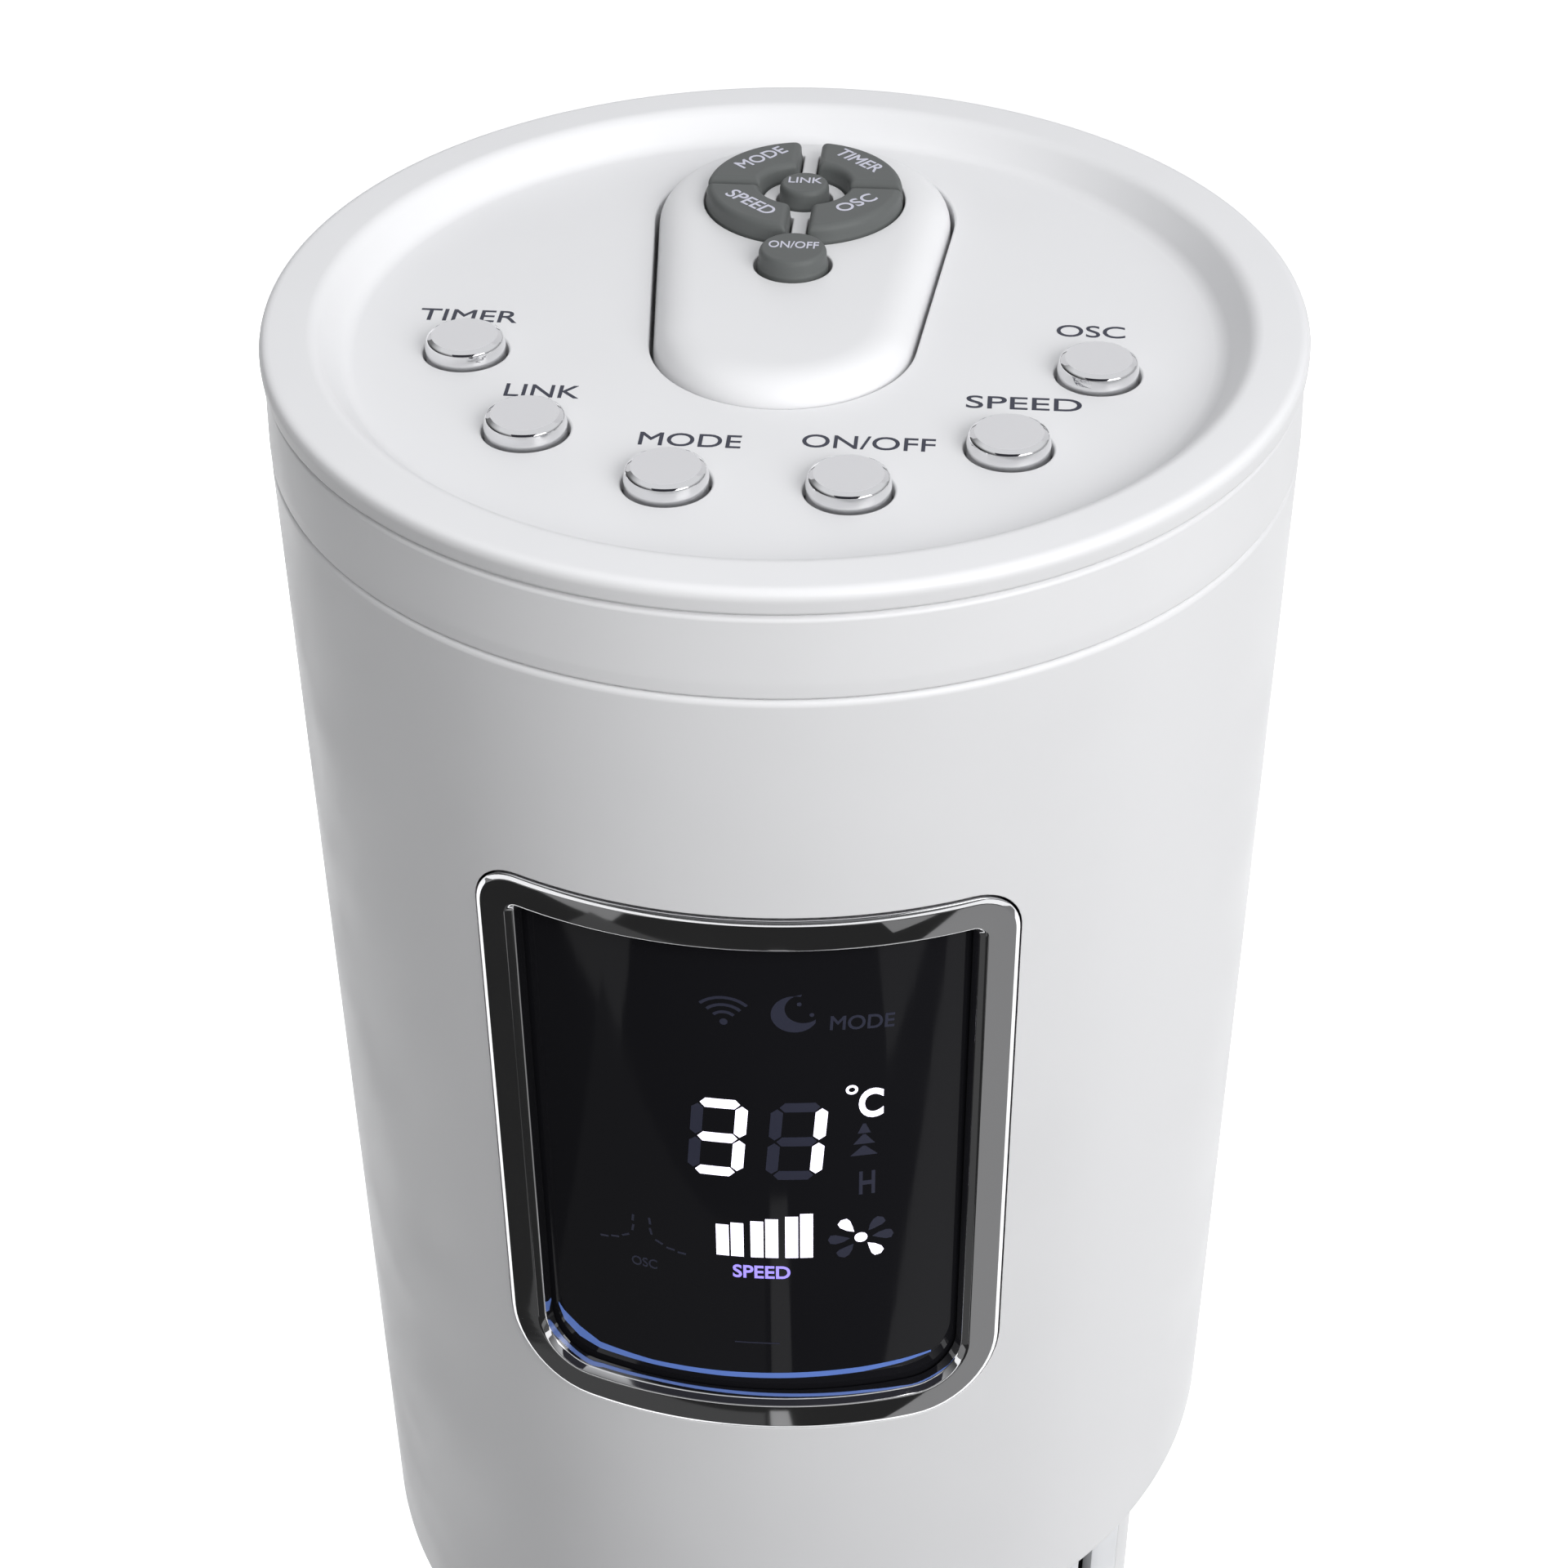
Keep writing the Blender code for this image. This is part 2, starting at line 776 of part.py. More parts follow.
def head_covers():
    seam = GAP / 2 / HEAD_RADIUS
    front = head_shell(
        "head_front_cover",
        -HEAD_SPLIT + seam,
        HEAD_SPLIT - seam,
        36,
        material("head_white", WHITE, 0.28),
    )
    cut(front, window_cutter("window_opening", 0))
    head_shell(
        "head_rear_cover",
        HEAD_SPLIT + seam,
        math.tau - HEAD_SPLIT - seam,
        24,
        material("head_rear_white", WHITE, 0.28),
    )
    washer(
        "head_mount_plate",
        14 * MM,
        82.1 * MM,
        COLUMN_TOP + GAP,
        COLUMN_TOP + 3.3 * MM,
        material("head_plate_grey", GREY, 0.45),
        32,
    )


def window_bezel():
    """A bright, nearly flush frame that runs round the window and follows the curve of the head."""
    section = (
        (0.3 * MM, -HEAD_WALL),
        (0.3 * MM, 0.1 * MM),
        (1.0 * MM, BEZEL_STANDS - 0.05 * MM),
        (3.6 * MM, BEZEL_STANDS),
        (6.1 * MM, BEZEL_STANDS - 0.1 * MM),
        (BEZEL_BAND - 0.2 * MM, -0.6 * MM),
        (BEZEL_BAND, -HEAD_WALL),
    )
    lines = [window_outline(inset) for inset, _ in section]
    rings = []
    for i in range(len(lines[0])):
        rings.append([wrapped(*line[i], HEAD_RADIUS + rise) for line, (_, rise) in zip(lines, section)])
    place(
        "window_bezel",
        lambda bm: skin(bm, rings, closed=True),
        material("bezel_chrome", (0.75, 0.75, 0.76), 0.1, 1),
    )


def display():
    outline = sector(LENS_RADIUS - LENS_WALL, LENS_RADIUS, math.radians(-31), math.radians(31), 20)
    lens = place(
        "display_lens",
        lambda bm: prism(bm, outline, WINDOW_FOOT, WINDOW_TOP),
        material("lens_smoke", (0.012, 0.012, 0.018), 0.08),
    )
    combine(lens, window_cutter("lens_outline", 4.5 * MM), "INTERSECT")
    middle = (WINDOW_TOP + WINDOW_FOOT) / 2
    slab(
        "display_module",
        (38 * MM, 5 * MM, 78 * MM),
        (0, -72 * MM, middle + 4 * MM),
        material("module_black", DARK, 0.4),
    )
    slab(
        "display_board",
        (54 * MM, 1.6 * MM, 108 * MM),
        (0, -68.4 * MM, middle),
        material("display_board_green", BOARD, 0.5),
    )
    slab(
        "ir_receiver",
        (6 * MM, 4.5 * MM, 7 * MM),
        (0, -71.8 * MM, WINDOW_FOOT + 15 * MM),
        material("ir_dark", DARK, 0.15),
    )


def power_board():
    board = slab(
        "power_board",
        (76 * MM, 1.6 * MM, 110 * MM),
        (0, 45 * MM, 870 * MM),
        material("power_board_green", BOARD, 0.5),
    )
    for name, size, centre in (
        ("transformer_block", (30, 24, 26), (-18, 34, 905)),
        ("capacitor_block", (14, 18, 14), (20, 37, 900)),
        ("relay_block", (20, 16, 16), (12, 38, 845)),
    ):
        lump = slab(name, tuple(v * MM for v in size), tuple(v * MM for v in centre), None, cutter=True)
        join(board, lump)


# ---------------------------------------------------------------- control deck


def stadium(shift, arc=8):
    """The tapered round-ended outline of the nest, moved in or out by a distance."""
    front = NEST_FRONT_RADIUS + shift
    back = NEST_BACK_RADIUS + shift
    lean = math.asin((back - front) / (NEST_BACK_Y - NEST_FRONT_Y))
    far = circle(back, (0, NEST_BACK_Y), arc, -lean, math.pi + lean)
    near = circle(front, (0, NEST_FRONT_Y), arc, math.pi + lean, math.tau - lean)
    return far + near


def stadium_block(name, shift, low, high, paint=None):
    return place(name, lambda bm: prism(bm, stadium(shift), low, high), paint, cutter=paint is None)


def top_cap():
    """The lid of the head: raised lip, sunk control deck and the nest for the remote."""
    deck_under = DECK_TOP - DECK_WALL
    profile = [
        (0, DECK_TOP),
        (DECK_RADIUS - 0.6 * MM, DECK_TOP),
        (DECK_RADIUS + 1.2 * MM, DECK_TOP + 0.8 * MM),
        (LIP_INNER - 2.2 * MM, LIP_TOP - 1.5 * MM),
        (LIP_INNER - 0.8 * MM, LIP_TOP - 0.4 * MM),
        (LIP_INNER + 0.8 * MM, LIP_TOP),
        (LIP_RADIUS - 2.3 * MM, LIP_TOP),
        (LIP_RADIUS - 0.7 * MM, LIP_TOP - 0.7 * MM),
        (LIP_RADIUS, LIP_TOP - 2.2 * MM),
        (LIP_RADIUS - 0.4 * MM, LIP_TOP - 3.4 * MM),
        (NECK_RADIUS, LIP_TOP - 4.7 * MM),
        (HEAD_RADIUS - 0.5 * MM, LIP_TOP - 5.5 * MM),
        (HEAD_RADIUS, LIP_TOP - 6.9 * MM),
        (HEAD_RADIUS, SEAM_HEIGHT + 0.4 * MM),
        (HEAD_RADIUS - 0.4 * MM, SEAM_HEIGHT),
        (82.1 * MM, SEAM_HEIGHT),
        (82.1 * MM, SEAM_HEIGHT - 6 * MM),
        (79.9 * MM, SEAM_HEIGHT - 6 * MM),
        (79.9 * MM, 996.6 * MM),
        (78 * MM, 997.2 * MM),
        (75.6 * MM, 995.8 * MM),
        (72.4 * MM, deck_under),
        (0, deck_under),
    ]
    cap = turned("top_cap", profile, material("cap_white", WHITE, 0.28), steps=48)
    join(cap, stadium_block("nest_tub", NEST_WALL, NEST_FLOOR - NEST_WALL, DECK_TOP - 0.6 * MM))
    cut(cap, stadium_block("nest_hollow", 0, NEST_FLOOR, LIP_TOP + 5 * MM))
    for k, (degrees, radius) in enumerate(BUTTON_PLACES):
        for side in (1, -1):
            x, y = around(radius, side * math.radians(degrees))
            cut(
                cap,
                hole(f"button_hole_{k}_{side + 1}", BUTTON_HOLE, DECK_TOP - 6 * MM, DECK_TOP + MM, (x, y)),
            )


def buttons():
    """Six bright press caps, each with a retaining flange and a stem down to its switch."""
    top = DECK_TOP + BUTTON_STANDS
    flange = DECK_TOP - DECK_WALL - 0.4 * MM
    profile = [
        (0, top),
        (BUTTON_RADIUS - 1.5 * MM, top),
        (BUTTON_RADIUS - 0.5 * MM, top - 0.5 * MM),
        (BUTTON_RADIUS, top - 1.6 * MM),
        (BUTTON_RADIUS, flange),
        (BUTTON_FLANGE, flange),
        (BUTTON_FLANGE, flange - 1.4 * MM),
        (2.4 * MM, flange - 1.4 * MM),
        (2.4 * MM, SWITCH_TOP + 1.5 * MM),
        (0, SWITCH_TOP + 1.5 * MM),
    ]
    for (degrees, radius), names in zip(BUTTON_PLACES, BUTTON_NAMES):
        for side, name in zip((1, -1), names):
            x, y = around(radius, side * math.radians(degrees))
            paint = material(f"{name}_button_chrome", (0.78, 0.78, 0.79), 0.15, 1)
            turned(f"{name}_button", profile, paint, (x, y, 0), 16)


def button_board():
    """The curved board under the deck, with a tact switch below each button."""
    outline = sector(42 * MM, 61 * MM, math.radians(-92), math.radians(92), 24)
    high = SWITCH_TOP - 3.5 * MM
    board = place(
        "button_board",
        lambda bm: prism(bm, outline, high - 1.6 * MM, high),
        material("button_board_green", BOARD, 0.5),
        smooth=False,
    )

    def switches(bm):
        for degrees, radius in BUTTON_PLACES:
            for side in (1, -1):
                x, y = around(radius, side * math.radians(degrees))
                square = [(x + a * MM, y + b * MM) for a, b in ((-3, -3), (3, -3), (3, 3), (-3, 3))]
                prism(bm, square, high - 0.5 * MM, SWITCH_TOP)

    join(board, place("switch_blocks", switches, None, cutter=True))


# ---------------------------------------------------------------- remote


def stadium_rings(steps):
    """Rings for a case whose outline changes with height, from (shift, height) steps."""
    return [[(x, y, z) for x, y in stadium(shift)] for shift, z in steps]


def quadrant(inner, outer, across, along, steps=7):
    """One of four keys round a ring, with a gap beside each axis, in the +X +Y quarter."""

    def line(radius):
        start = math.asin(along / radius)
        end = math.acos(across / radius)
        return circle(radius, (0, 0), steps, start, end)

    return line(outer) + list(reversed(line(inner)))


def half_ring(inner, outer, across, steps=14):
    """The opening shared by the two keys on the +X side of the ring."""

    def line(radius):
        end = math.acos(across / radius)
        return circle(radius, (0, 0), steps, -end, end)

    return line(outer) + list(reversed(line(inner)))


def key_body(bm, outline, middle):
    """A soft key: upright sides with a rounded shoulder, on an outline about its middle."""
    cx, cy = middle
    rings = []
    for scale, z in ((1, KEY_FOOT), (1, KEY_TOP - 1.6 * MM), (0.96, KEY_TOP - 0.6 * MM), (0.86, KEY_TOP)):
        rings.append([(cx + (x - cx) * scale, cy + (y - cy) * scale, z) for x, y in outline])
    skin(bm, rings, closed=False)


def remote_keys():
    """Returns the outlines of the holes that the keys come up through."""
    holes = []
    for name, sx, sy in (("timer", 1, 1), ("mode", -1, 1), ("speed", -1, -1), ("osc", 1, -1)):
        shape = [(x * sx, y * sy) for x, y in quadrant(KEY_RING_INNER, KEY_RING_OUTER, 1.6 * MM, 0.45 * MM)]
        reach = (KEY_RING_INNER + KEY_RING_OUTER) / 2 * math.sqrt(0.5)
        middle = (reach * sx, reach * sy)
        paint = material(f"remote_{name}_rubber", KEY_GREY, 0.55)
        place(
            f"remote_{name}_key",
            lambda bm, s=shape, m=middle: key_body(bm, s, m),
            paint,
            (0, KEY_RING_Y, 0),
        )
    wide = half_ring(KEY_RING_INNER - GAP, KEY_RING_OUTER + GAP, 1.3 * MM)
    for side in (1, -1):
        holes.append([(x * side, y + KEY_RING_Y) for x, y in wide])
    rounds = (("link", KEY_RING_Y, KEY_CENTRE_RADIUS), ("on_off", KEY_POWER_Y, KEY_POWER_RADIUS))
    for name, y, radius in rounds:
        paint = material(f"remote_{name}_rubber", KEY_GREY, 0.55)
        shape = circle(radius, steps=20)
        place(f"remote_{name}_key", lambda bm, s=shape: key_body(bm, s, (0, 0)), paint, (0, y, 0))
        holes.append(circle(radius + GAP, (0, y), 20))
    return holes


def remote():
    edge = -REMOTE_PLAY
    top = REMOTE_TOP
    shoulder = ((edge, REMOTE_SPLIT + GAP / 2), (edge, top - 5.4 * MM), (edge - 0.4 * MM, top - 3.7 * MM))
    crown = ((edge - 1.5 * MM, top - 2.1 * MM), (edge - 3.6 * MM, top - 0.8 * MM), (edge - 7.5 * MM, top))
    upper = place(
        "remote_upper_case",
        lambda bm: skin(bm, stadium_rings(shoulder + crown), closed=False),
        material("remote_white", WHITE, 0.3),
        (0, 0, 0),
    )
    cut(upper, stadium_block("remote_upper_hollow", edge - 2 * MM, REMOTE_SPLIT - MM, top - 4.2 * MM))

    def key_holes(bm):
        for outline in remote_keys():
            prism(bm, outline, KEY_FOOT, top + 4 * MM)

    cut(upper, place("remote_key_holes", key_holes, None, cutter=True))
    floor = ((edge - 1 * MM, REMOTE_FOOT), (edge, REMOTE_FOOT + 1.2 * MM), (edge, REMOTE_SPLIT - GAP / 2))
    lower = place(
        "remote_lower_case",
        lambda bm: skin(bm, stadium_rings(floor), closed=False),
        material("remote_lower_white", WHITE, 0.32),
    )
    cut(
        lower,
        stadium_block("remote_lower_hollow", edge - 2 * MM, REMOTE_FOOT + 1.4 * MM, REMOTE_SPLIT + MM),
    )
    cut(lower, hole("battery_hole", DOOR_RADIUS + GAP, REMOTE_FOOT - MM, REMOTE_SPLIT, (0, CELL_Y), 20))
    door = rod(
        "remote_battery_door",
        DOOR_RADIUS,
        REMOTE_FOOT + 0.1 * MM,
        REMOTE_FOOT + 1.3 * MM,
        material("door_white", WHITE, 0.32),
        (0, CELL_Y),
        20,
        0.2 * MM,
    )
    cut(door, slab("coin_slot", (10 * MM, 1.4 * MM, 1.2 * MM), (0, CELL_Y, REMOTE_FOOT), None, cutter=True))
    rod(
        "remote_coin_cell",
        CELL_RADIUS,
        987.1 * MM,
        989.6 * MM,
        material("cell_steel", STEEL, 0.25, 1),
        (0, CELL_Y),
        16,
    )
    place(
        "remote_circuit_board",
        lambda bm: prism(bm, stadium(edge - 2.6 * MM), 990.4 * MM, 991.4 * MM),
        material("remote_board_green", BOARD, 0.5),
        smooth=False,
    )


def build():
    base_cover()
    cord_gland()
    base_bottom_plate()
    rubber_feet()
    ballast_ring()
    oscillation_gears()
    oscillation_motor()
    swivel()
    lower_shroud()
    column()
    air_path()
    impeller()
    fan_motor()
    column_top()
    head_covers()
    window_bezel()
    display()
    power_board()
    top_cap()
    buttons()
    button_board()
    remote()


build()
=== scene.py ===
# %% [markdown]
# # A tower fan with a lift-out remote
#
# A tower fan is a tall round column that draws air in at the back and blows it out at the front. Its
# head carries a display window, six bright buttons and a nest for a small remote. The mechanical model
# is packed already. This lesson builds what the eye sees around it: finer covers, chrome, rubber keys
# and a lit display.

import math

import bmesh
import bpy
from mathutils import Matrix, Vector


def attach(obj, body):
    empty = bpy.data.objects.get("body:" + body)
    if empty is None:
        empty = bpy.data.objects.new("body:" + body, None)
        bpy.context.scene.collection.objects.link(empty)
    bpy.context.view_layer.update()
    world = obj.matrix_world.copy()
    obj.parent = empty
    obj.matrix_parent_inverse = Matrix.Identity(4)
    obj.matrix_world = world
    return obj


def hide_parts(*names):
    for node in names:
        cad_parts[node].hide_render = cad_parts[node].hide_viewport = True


MM = 0.001
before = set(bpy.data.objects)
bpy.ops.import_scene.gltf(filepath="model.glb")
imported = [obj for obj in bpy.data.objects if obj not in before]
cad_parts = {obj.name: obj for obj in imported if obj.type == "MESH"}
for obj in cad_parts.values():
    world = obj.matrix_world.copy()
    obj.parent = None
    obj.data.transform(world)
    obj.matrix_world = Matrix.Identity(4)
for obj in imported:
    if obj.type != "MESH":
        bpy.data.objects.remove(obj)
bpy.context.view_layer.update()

# %% [markdown]
# ## The camera
#
# A camera can be aimed with a tracking constraint or placed by its own three axes. The axes are used
# here, because they hold a slight roll as well as where it points. It looks down on the head from the
# front, a little from the right.

# %% Place the camera
VIEW_PLACE = (0.038323, -0.427492, 1.229113)
VIEW_RIGHT = (0.99625654, 0.08623734, -0.00600305)
VIEW_UP = (-0.04757913, 0.60498536, 0.79481378)
VIEW_BACK = (0.07217439, -0.7915528, 0.60682372)
VIEW_LENS = 67.72
VIEW_FILM = 36

camera = bpy.data.objects.new("viewpoint", bpy.data.cameras.new("viewpoint"))
bpy.context.scene.collection.objects.link(camera)
turn = Matrix((VIEW_RIGHT, VIEW_UP, VIEW_BACK)).transposed().to_4x4()
camera.matrix_world = Matrix.Translation(VIEW_PLACE) @ turn
camera.data.sensor_width = VIEW_FILM
camera.data.lens = VIEW_LENS
camera.data.clip_start = 0.01
bpy.context.scene.camera = camera
print("camera height in mm:", round(VIEW_PLACE[2] / MM))

# %% [markdown]
# ## Floor and cards
#
# A pale floor carries the soft shadow. Chrome only looks like chrome if it has something dark to
# mirror, so cards stand round the fan. Only mirror rays see them, so they leave the light on the white
# plastic alone.

# %% Cards
FLOOR_CORNERS = [(-12, -12, 0), (12, -12, 0), (12, 12, 0), (-12, 12, 0)]
CARD_HEIGHT = 0.02
CARD_GAP = 0.002


def set_sockets(node, values):
    """Sets a node's sockets from their names and values."""
    for socket, value in values.items():
        node.inputs[socket].default_value = value


def flat_card(name, corners, colour, glow):
    """A flat card with its own plain finish."""
    mesh = bpy.data.meshes.new(name)
    mesh.from_pydata(corners, [], [range(len(corners))])
    card = bpy.data.objects.new(name, mesh)
    bpy.context.scene.collection.objects.link(card)
    paint = bpy.data.materials.new(name)
    paint.use_nodes = True
    shader = paint.node_tree.nodes["Principled BSDF"]
    set_sockets(shader, {"Base Color": (*colour, 1), "Roughness": 0.9, "Specular IOR Level": 0.1})
    set_sockets(shader, {"Emission Color": (*colour, 1), "Emission Strength": glow})
    mesh.materials.append(paint)
    return card


def mirror_card(name, corners, colour, glow=1.0):
    """A card that only shows in shiny finishes."""
    card = flat_card(name, corners, colour, glow)
    card.visible_camera = False
    card.visible_diffuse = False
    card.visible_shadow = False
    card.visible_transmission = False


def standing_corners(*middle_and_sides):
    """The corners of a card in the air, from its middle and its two half sides."""
    middle, across, up = [Vector(v) for v in middle_and_sides]
    return [middle - across - up, middle + across - up, middle + across + up, middle - across + up]


floor = flat_card("floor", FLOOR_CORNERS, (0.92, 0.92, 0.92), 0.6)
floor.visible_diffuse = False

# %% [markdown]
# The dark card covers the floor in front. Paler ones lie on it, a little higher each time, where the
# window frame and the smoked window should show a lighter patch or a streak. The viewer's card darkens
# the top bar of the frame, the lamp's card gives the lip its highlight, and the back card fills the
# flat button faces.

# %% Lying and standing cards
LYING_CARDS = (
    ("dark_card", 0.010, [(-2.6, -3.2), (2.6, -3.2), (2.6, -0.2), (-2.6, -0.2)]),
    ("left_card", 0.12, [(-2.6, -3.2), (-0.62, -3.2), (-0.62, -0.86), (-2.6, 0)]),
    ("low_left_card", 0.034, [(-0.72, -0.84), (-0.02, -0.9), (-0.02, -0.35), (-0.72, -0.35)]),
    ("streak_card", 0.17, [(0.0, -0.92), (0.07, -0.92), (0.07, -0.5), (0.0, -0.5)]),
    ("near_right_card", 0.13, [(0.13, -0.6), (1.1, -0.95), (2.6, -0.95), (2.6, -0.2), (0.13, -0.2)]),
    ("far_right_card", 0.11, [(0.5, -3.2), (0.72, -3.2), (0.72, -0.9), (0.5, -0.9)]),
    ("dim_right_card", 0.048, [(0.72, -3.2), (2.6, -3.2), (2.6, -0.9), (0.72, -0.9)]),
)
LAMP_PLACE = (0.99, -1.0, 1.71)
STANDING_CARDS = (
    ("viewer_card", (0, -0.75, 1.55), (0.5, 0, 0), (0, 0.24, 0.32), (0.02, 0.02, 0.025), 1.0),
    ("lamp_card", LAMP_PLACE, (0.4, 0.4, 0), (0, 0, 0.4), (1, 1, 1), 1.8),
    ("back_card", (0, 2.2, 2.6), (2, 0, 0), (0, 0.2, 1.4), (0.49, 0.49, 0.50), 1.0),
)
for i, (name, level, corners) in enumerate(LYING_CARDS):
    height = CARD_HEIGHT + CARD_GAP * i
    mirror_card(name, [(x, y, height) for x, y in corners], (level, level, level))
for name, middle, across, up, colour, glow in STANDING_CARDS:
    mirror_card(name, standing_corners(middle, across, up), colour, glow)
print("cards:", len(LYING_CARDS) + len(STANDING_CARDS))

# %% [markdown]
# ## Lamps
#
# White plastic needs broad, soft light. The main lamp is a large disc high on the right, so the left
# side falls off into grey. A small one in front lights the deck, and one behind keeps the back white.
# Mirror rays don't see the discs, because the cards already give the reflections.

# %% Lamps
LAMPS = (
    ("right_lamp", LAMP_PLACE, (0, 0, 0.93), 1.0, 13.5),
    ("back_lamp", (-0.5, 1.8, 0.75), (0, 0, 0.55), 1.4, 17),
    ("front_lamp", (0.20, -0.80, 1.50), (0, 0, 0.96), 0.7, 3.0),
)
for name, place, aim, size, watts in LAMPS:
    lamp = bpy.data.objects.new(name, bpy.data.lights.new(name, "AREA"))
    bpy.context.scene.collection.objects.link(lamp)
    lamp.data.shape = "DISK"
    lamp.data.size = size
    lamp.data.energy = watts
    lamp.visible_glossy = False
    lamp.location = place
    lamp.rotation_euler = (Vector(aim) - Vector(place)).to_track_quat("-Z", "Y").to_euler()
print("lamps:", len(LAMPS))

# %% [markdown]
# ## Sky
#
# A sky of one level would light the fan flat. This one is dim near the floor and bright overhead, and
# it fades towards the left, except high up, so that the deck stays evenly lit. The background itself is
# white.

# %% Sky
LOW_SKY = 0.07
HIGH_SKY = 0.75
LEFT_SKY = 0.05
world = bpy.data.worlds.new("studio")
bpy.context.scene.world = world
world.use_nodes = True
sky = world.node_tree


def sky_ramp(source, low, high, least, most):
    """A level that goes from least to most while the source goes from low to high."""
    ramp = sky.nodes.new("ShaderNodeMapRange")
    set_sockets(ramp, {"From Min": low, "From Max": high, "To Min": least, "To Max": most})
    sky.links.new(source, ramp.inputs["Value"])
    return ramp


def sky_math(operation, first, second):
    """One level worked out from two others."""
    step = sky.nodes.new("ShaderNodeMath")
    step.operation = operation
    sky.links.new(first, step.inputs[0])
    sky.links.new(second, step.inputs[1])
    return step.outputs["Value"]


background = sky.nodes["Background"]
background.inputs["Color"].default_value = (0.97, 0.98, 1.0, 1)
direction = sky.nodes.new("ShaderNodeTexCoord")
split = sky.nodes.new("ShaderNodeSeparateXYZ")
sky.links.new(direction.outputs["Generated"], split.inputs["Vector"])
rise = sky_ramp(split.outputs["Z"], -0.2, 0.65, LOW_SKY, HIGH_SKY)
rise.interpolation_type = "SMOOTHSTEP"
side = sky_ramp(split.outputs["X"], -1, 0.3, LEFT_SKY, 1.0)
overhead = sky_ramp(split.outputs["Z"], 0.4, 0.8, 0.0, 1.0)
fuller = sky_math("MAXIMUM", side.outputs["Result"], overhead.outputs["Result"])
sky.links.new(sky_math("MULTIPLY", rise.outputs["Result"], fuller), background.inputs["Strength"])
seen = sky.nodes.new("ShaderNodeBackground")
seen.inputs["Color"].default_value = (1, 1, 1, 1)
path = sky.nodes.new("ShaderNodeLightPath")
choose = sky.nodes.new("ShaderNodeMixShader")
sky.links.new(path.outputs["Is Camera Ray"], choose.inputs["Fac"])
sky.links.new(background.outputs["Background"], choose.inputs[1])
sky.links.new(seen.outputs["Background"], choose.inputs[2])
sky.links.new(choose.outputs["Shader"], sky.nodes["World Output"].inputs["Surface"])
bpy.context.scene.view_settings.view_transform = "Standard"
print("sky nodes:", len(sky.nodes))

# %% [markdown]
# ## Finishes
#
# Moulded plastic is never one flat colour. It has a spark-eroded grain of a few tenths of a millimetre,
# which softens the shine, and a very faint mottle where the moulding cooled unevenly. One helper makes
# every finish from those two scales of noise, so each one differs only in its numbers.

# %% A helper for finishes
MOTTLE_SCALE = 45


def finish(name, colour, roughness, metallic=0.0, grain=0.35, depth=0.006, mottle=0.015, spread=0.04):
    """A finish with a fine grain and a broad mottle. Grain and depth are in millimetres."""
    made = bpy.data.materials.new(name)
    made.use_nodes = True
    tree = made.node_tree
    shader = tree.nodes["Principled BSDF"]
    shader.inputs["Metallic"].default_value = metallic
    place = tree.nodes.new("ShaderNodeTexCoord")
    fine = tree.nodes.new("ShaderNodeTexNoise")
    set_sockets(fine, {"Scale": 1 / (grain * MM), "Detail": 2})
    broad = tree.nodes.new("ShaderNodeTexNoise")
    set_sockets(broad, {"Scale": MOTTLE_SCALE, "Detail": 3})
    for noise in (fine, broad):
        tree.links.new(place.outputs["Object"], noise.inputs["Vector"])
    bump = tree.nodes.new("ShaderNodeBump")
    set_sockets(bump, {"Strength": 0.6, "Distance": depth * MM})
    tree.links.new(fine.outputs["Fac"], bump.inputs["Height"])
    tree.links.new(bump.outputs["Normal"], shader.inputs["Normal"])
    tint = tree.nodes.new("ShaderNodeMix")
    tint.data_type = "RGBA"
    darker = (*[c * (1 - mottle) for c in colour], 1)
    set_sockets(tint, {"A": darker, "B": (*[min(c * (1 + mottle), 1) for c in colour], 1)})
    tree.links.new(broad.outputs["Fac"], tint.inputs["Factor"])
    tree.links.new(tint.outputs["Result"], shader.inputs["Base Color"])
    shine = tree.nodes.new("ShaderNodeMapRange")
    set_sockets(shine, {"From Min": 0.3, "From Max": 0.7})
    set_sockets(shine, {"To Min": max(roughness - spread, 0.01), "To Max": roughness + spread})
    tree.links.new(broad.outputs["Fac"], shine.inputs["Value"])
    tree.links.new(shine.outputs["Result"], shader.inputs["Roughness"])
    return made


def glowing(name, colour, strength):
    """A lit finish: its colour and brightness vary a little from place to place, as light guides do."""
    made = finish(name, colour, 0.3, mottle=0.05)
    tree = made.node_tree
    shader = tree.nodes["Principled BSDF"]
    tree.links.new(tree.nodes["Mix"].outputs["Result"], shader.inputs["Emission Color"])
    shader.inputs["Emission Strength"].default_value = strength
    return made


WHITE = finish("white_satin_plastic", (0.80, 0.80, 0.81), 0.36)
BASE_WHITE = finish("white_base_plastic", (0.79, 0.79, 0.80), 0.30, mottle=0.006, spread=0.02)
SILVER = finish("silver_painted_plastic", (0.60, 0.61, 0.63), 0.34, 0.35, grain=0.25)
CHROME = finish("bezel_chrome_plating", (0.80, 0.80, 0.81), 0.05, 1.0, grain=6, depth=0.004, spread=0.02)
PLATED = finish("button_bright_plating", (0.86, 0.86, 0.87), 0.06, 1.0, grain=5, depth=0.004, spread=0.02)
BRUSHED = finish("button_satin_plating", (0.96, 0.96, 0.97), 0.30, 1.0, grain=0.2, depth=0.003)
SMOKE = finish("smoked_window_plastic", (0.0095, 0.0095, 0.0115), 0.05, grain=8, depth=0.003, spread=0.02)
KEY_RUBBER = finish("grey_key_rubber", (0.108, 0.115, 0.113), 0.52, grain=0.25, depth=0.012, mottle=0.05)
BLACK_RUBBER = finish("black_rubber", (0.03, 0.03, 0.032), 0.75, grain=0.4, depth=0.02, mottle=0.15)
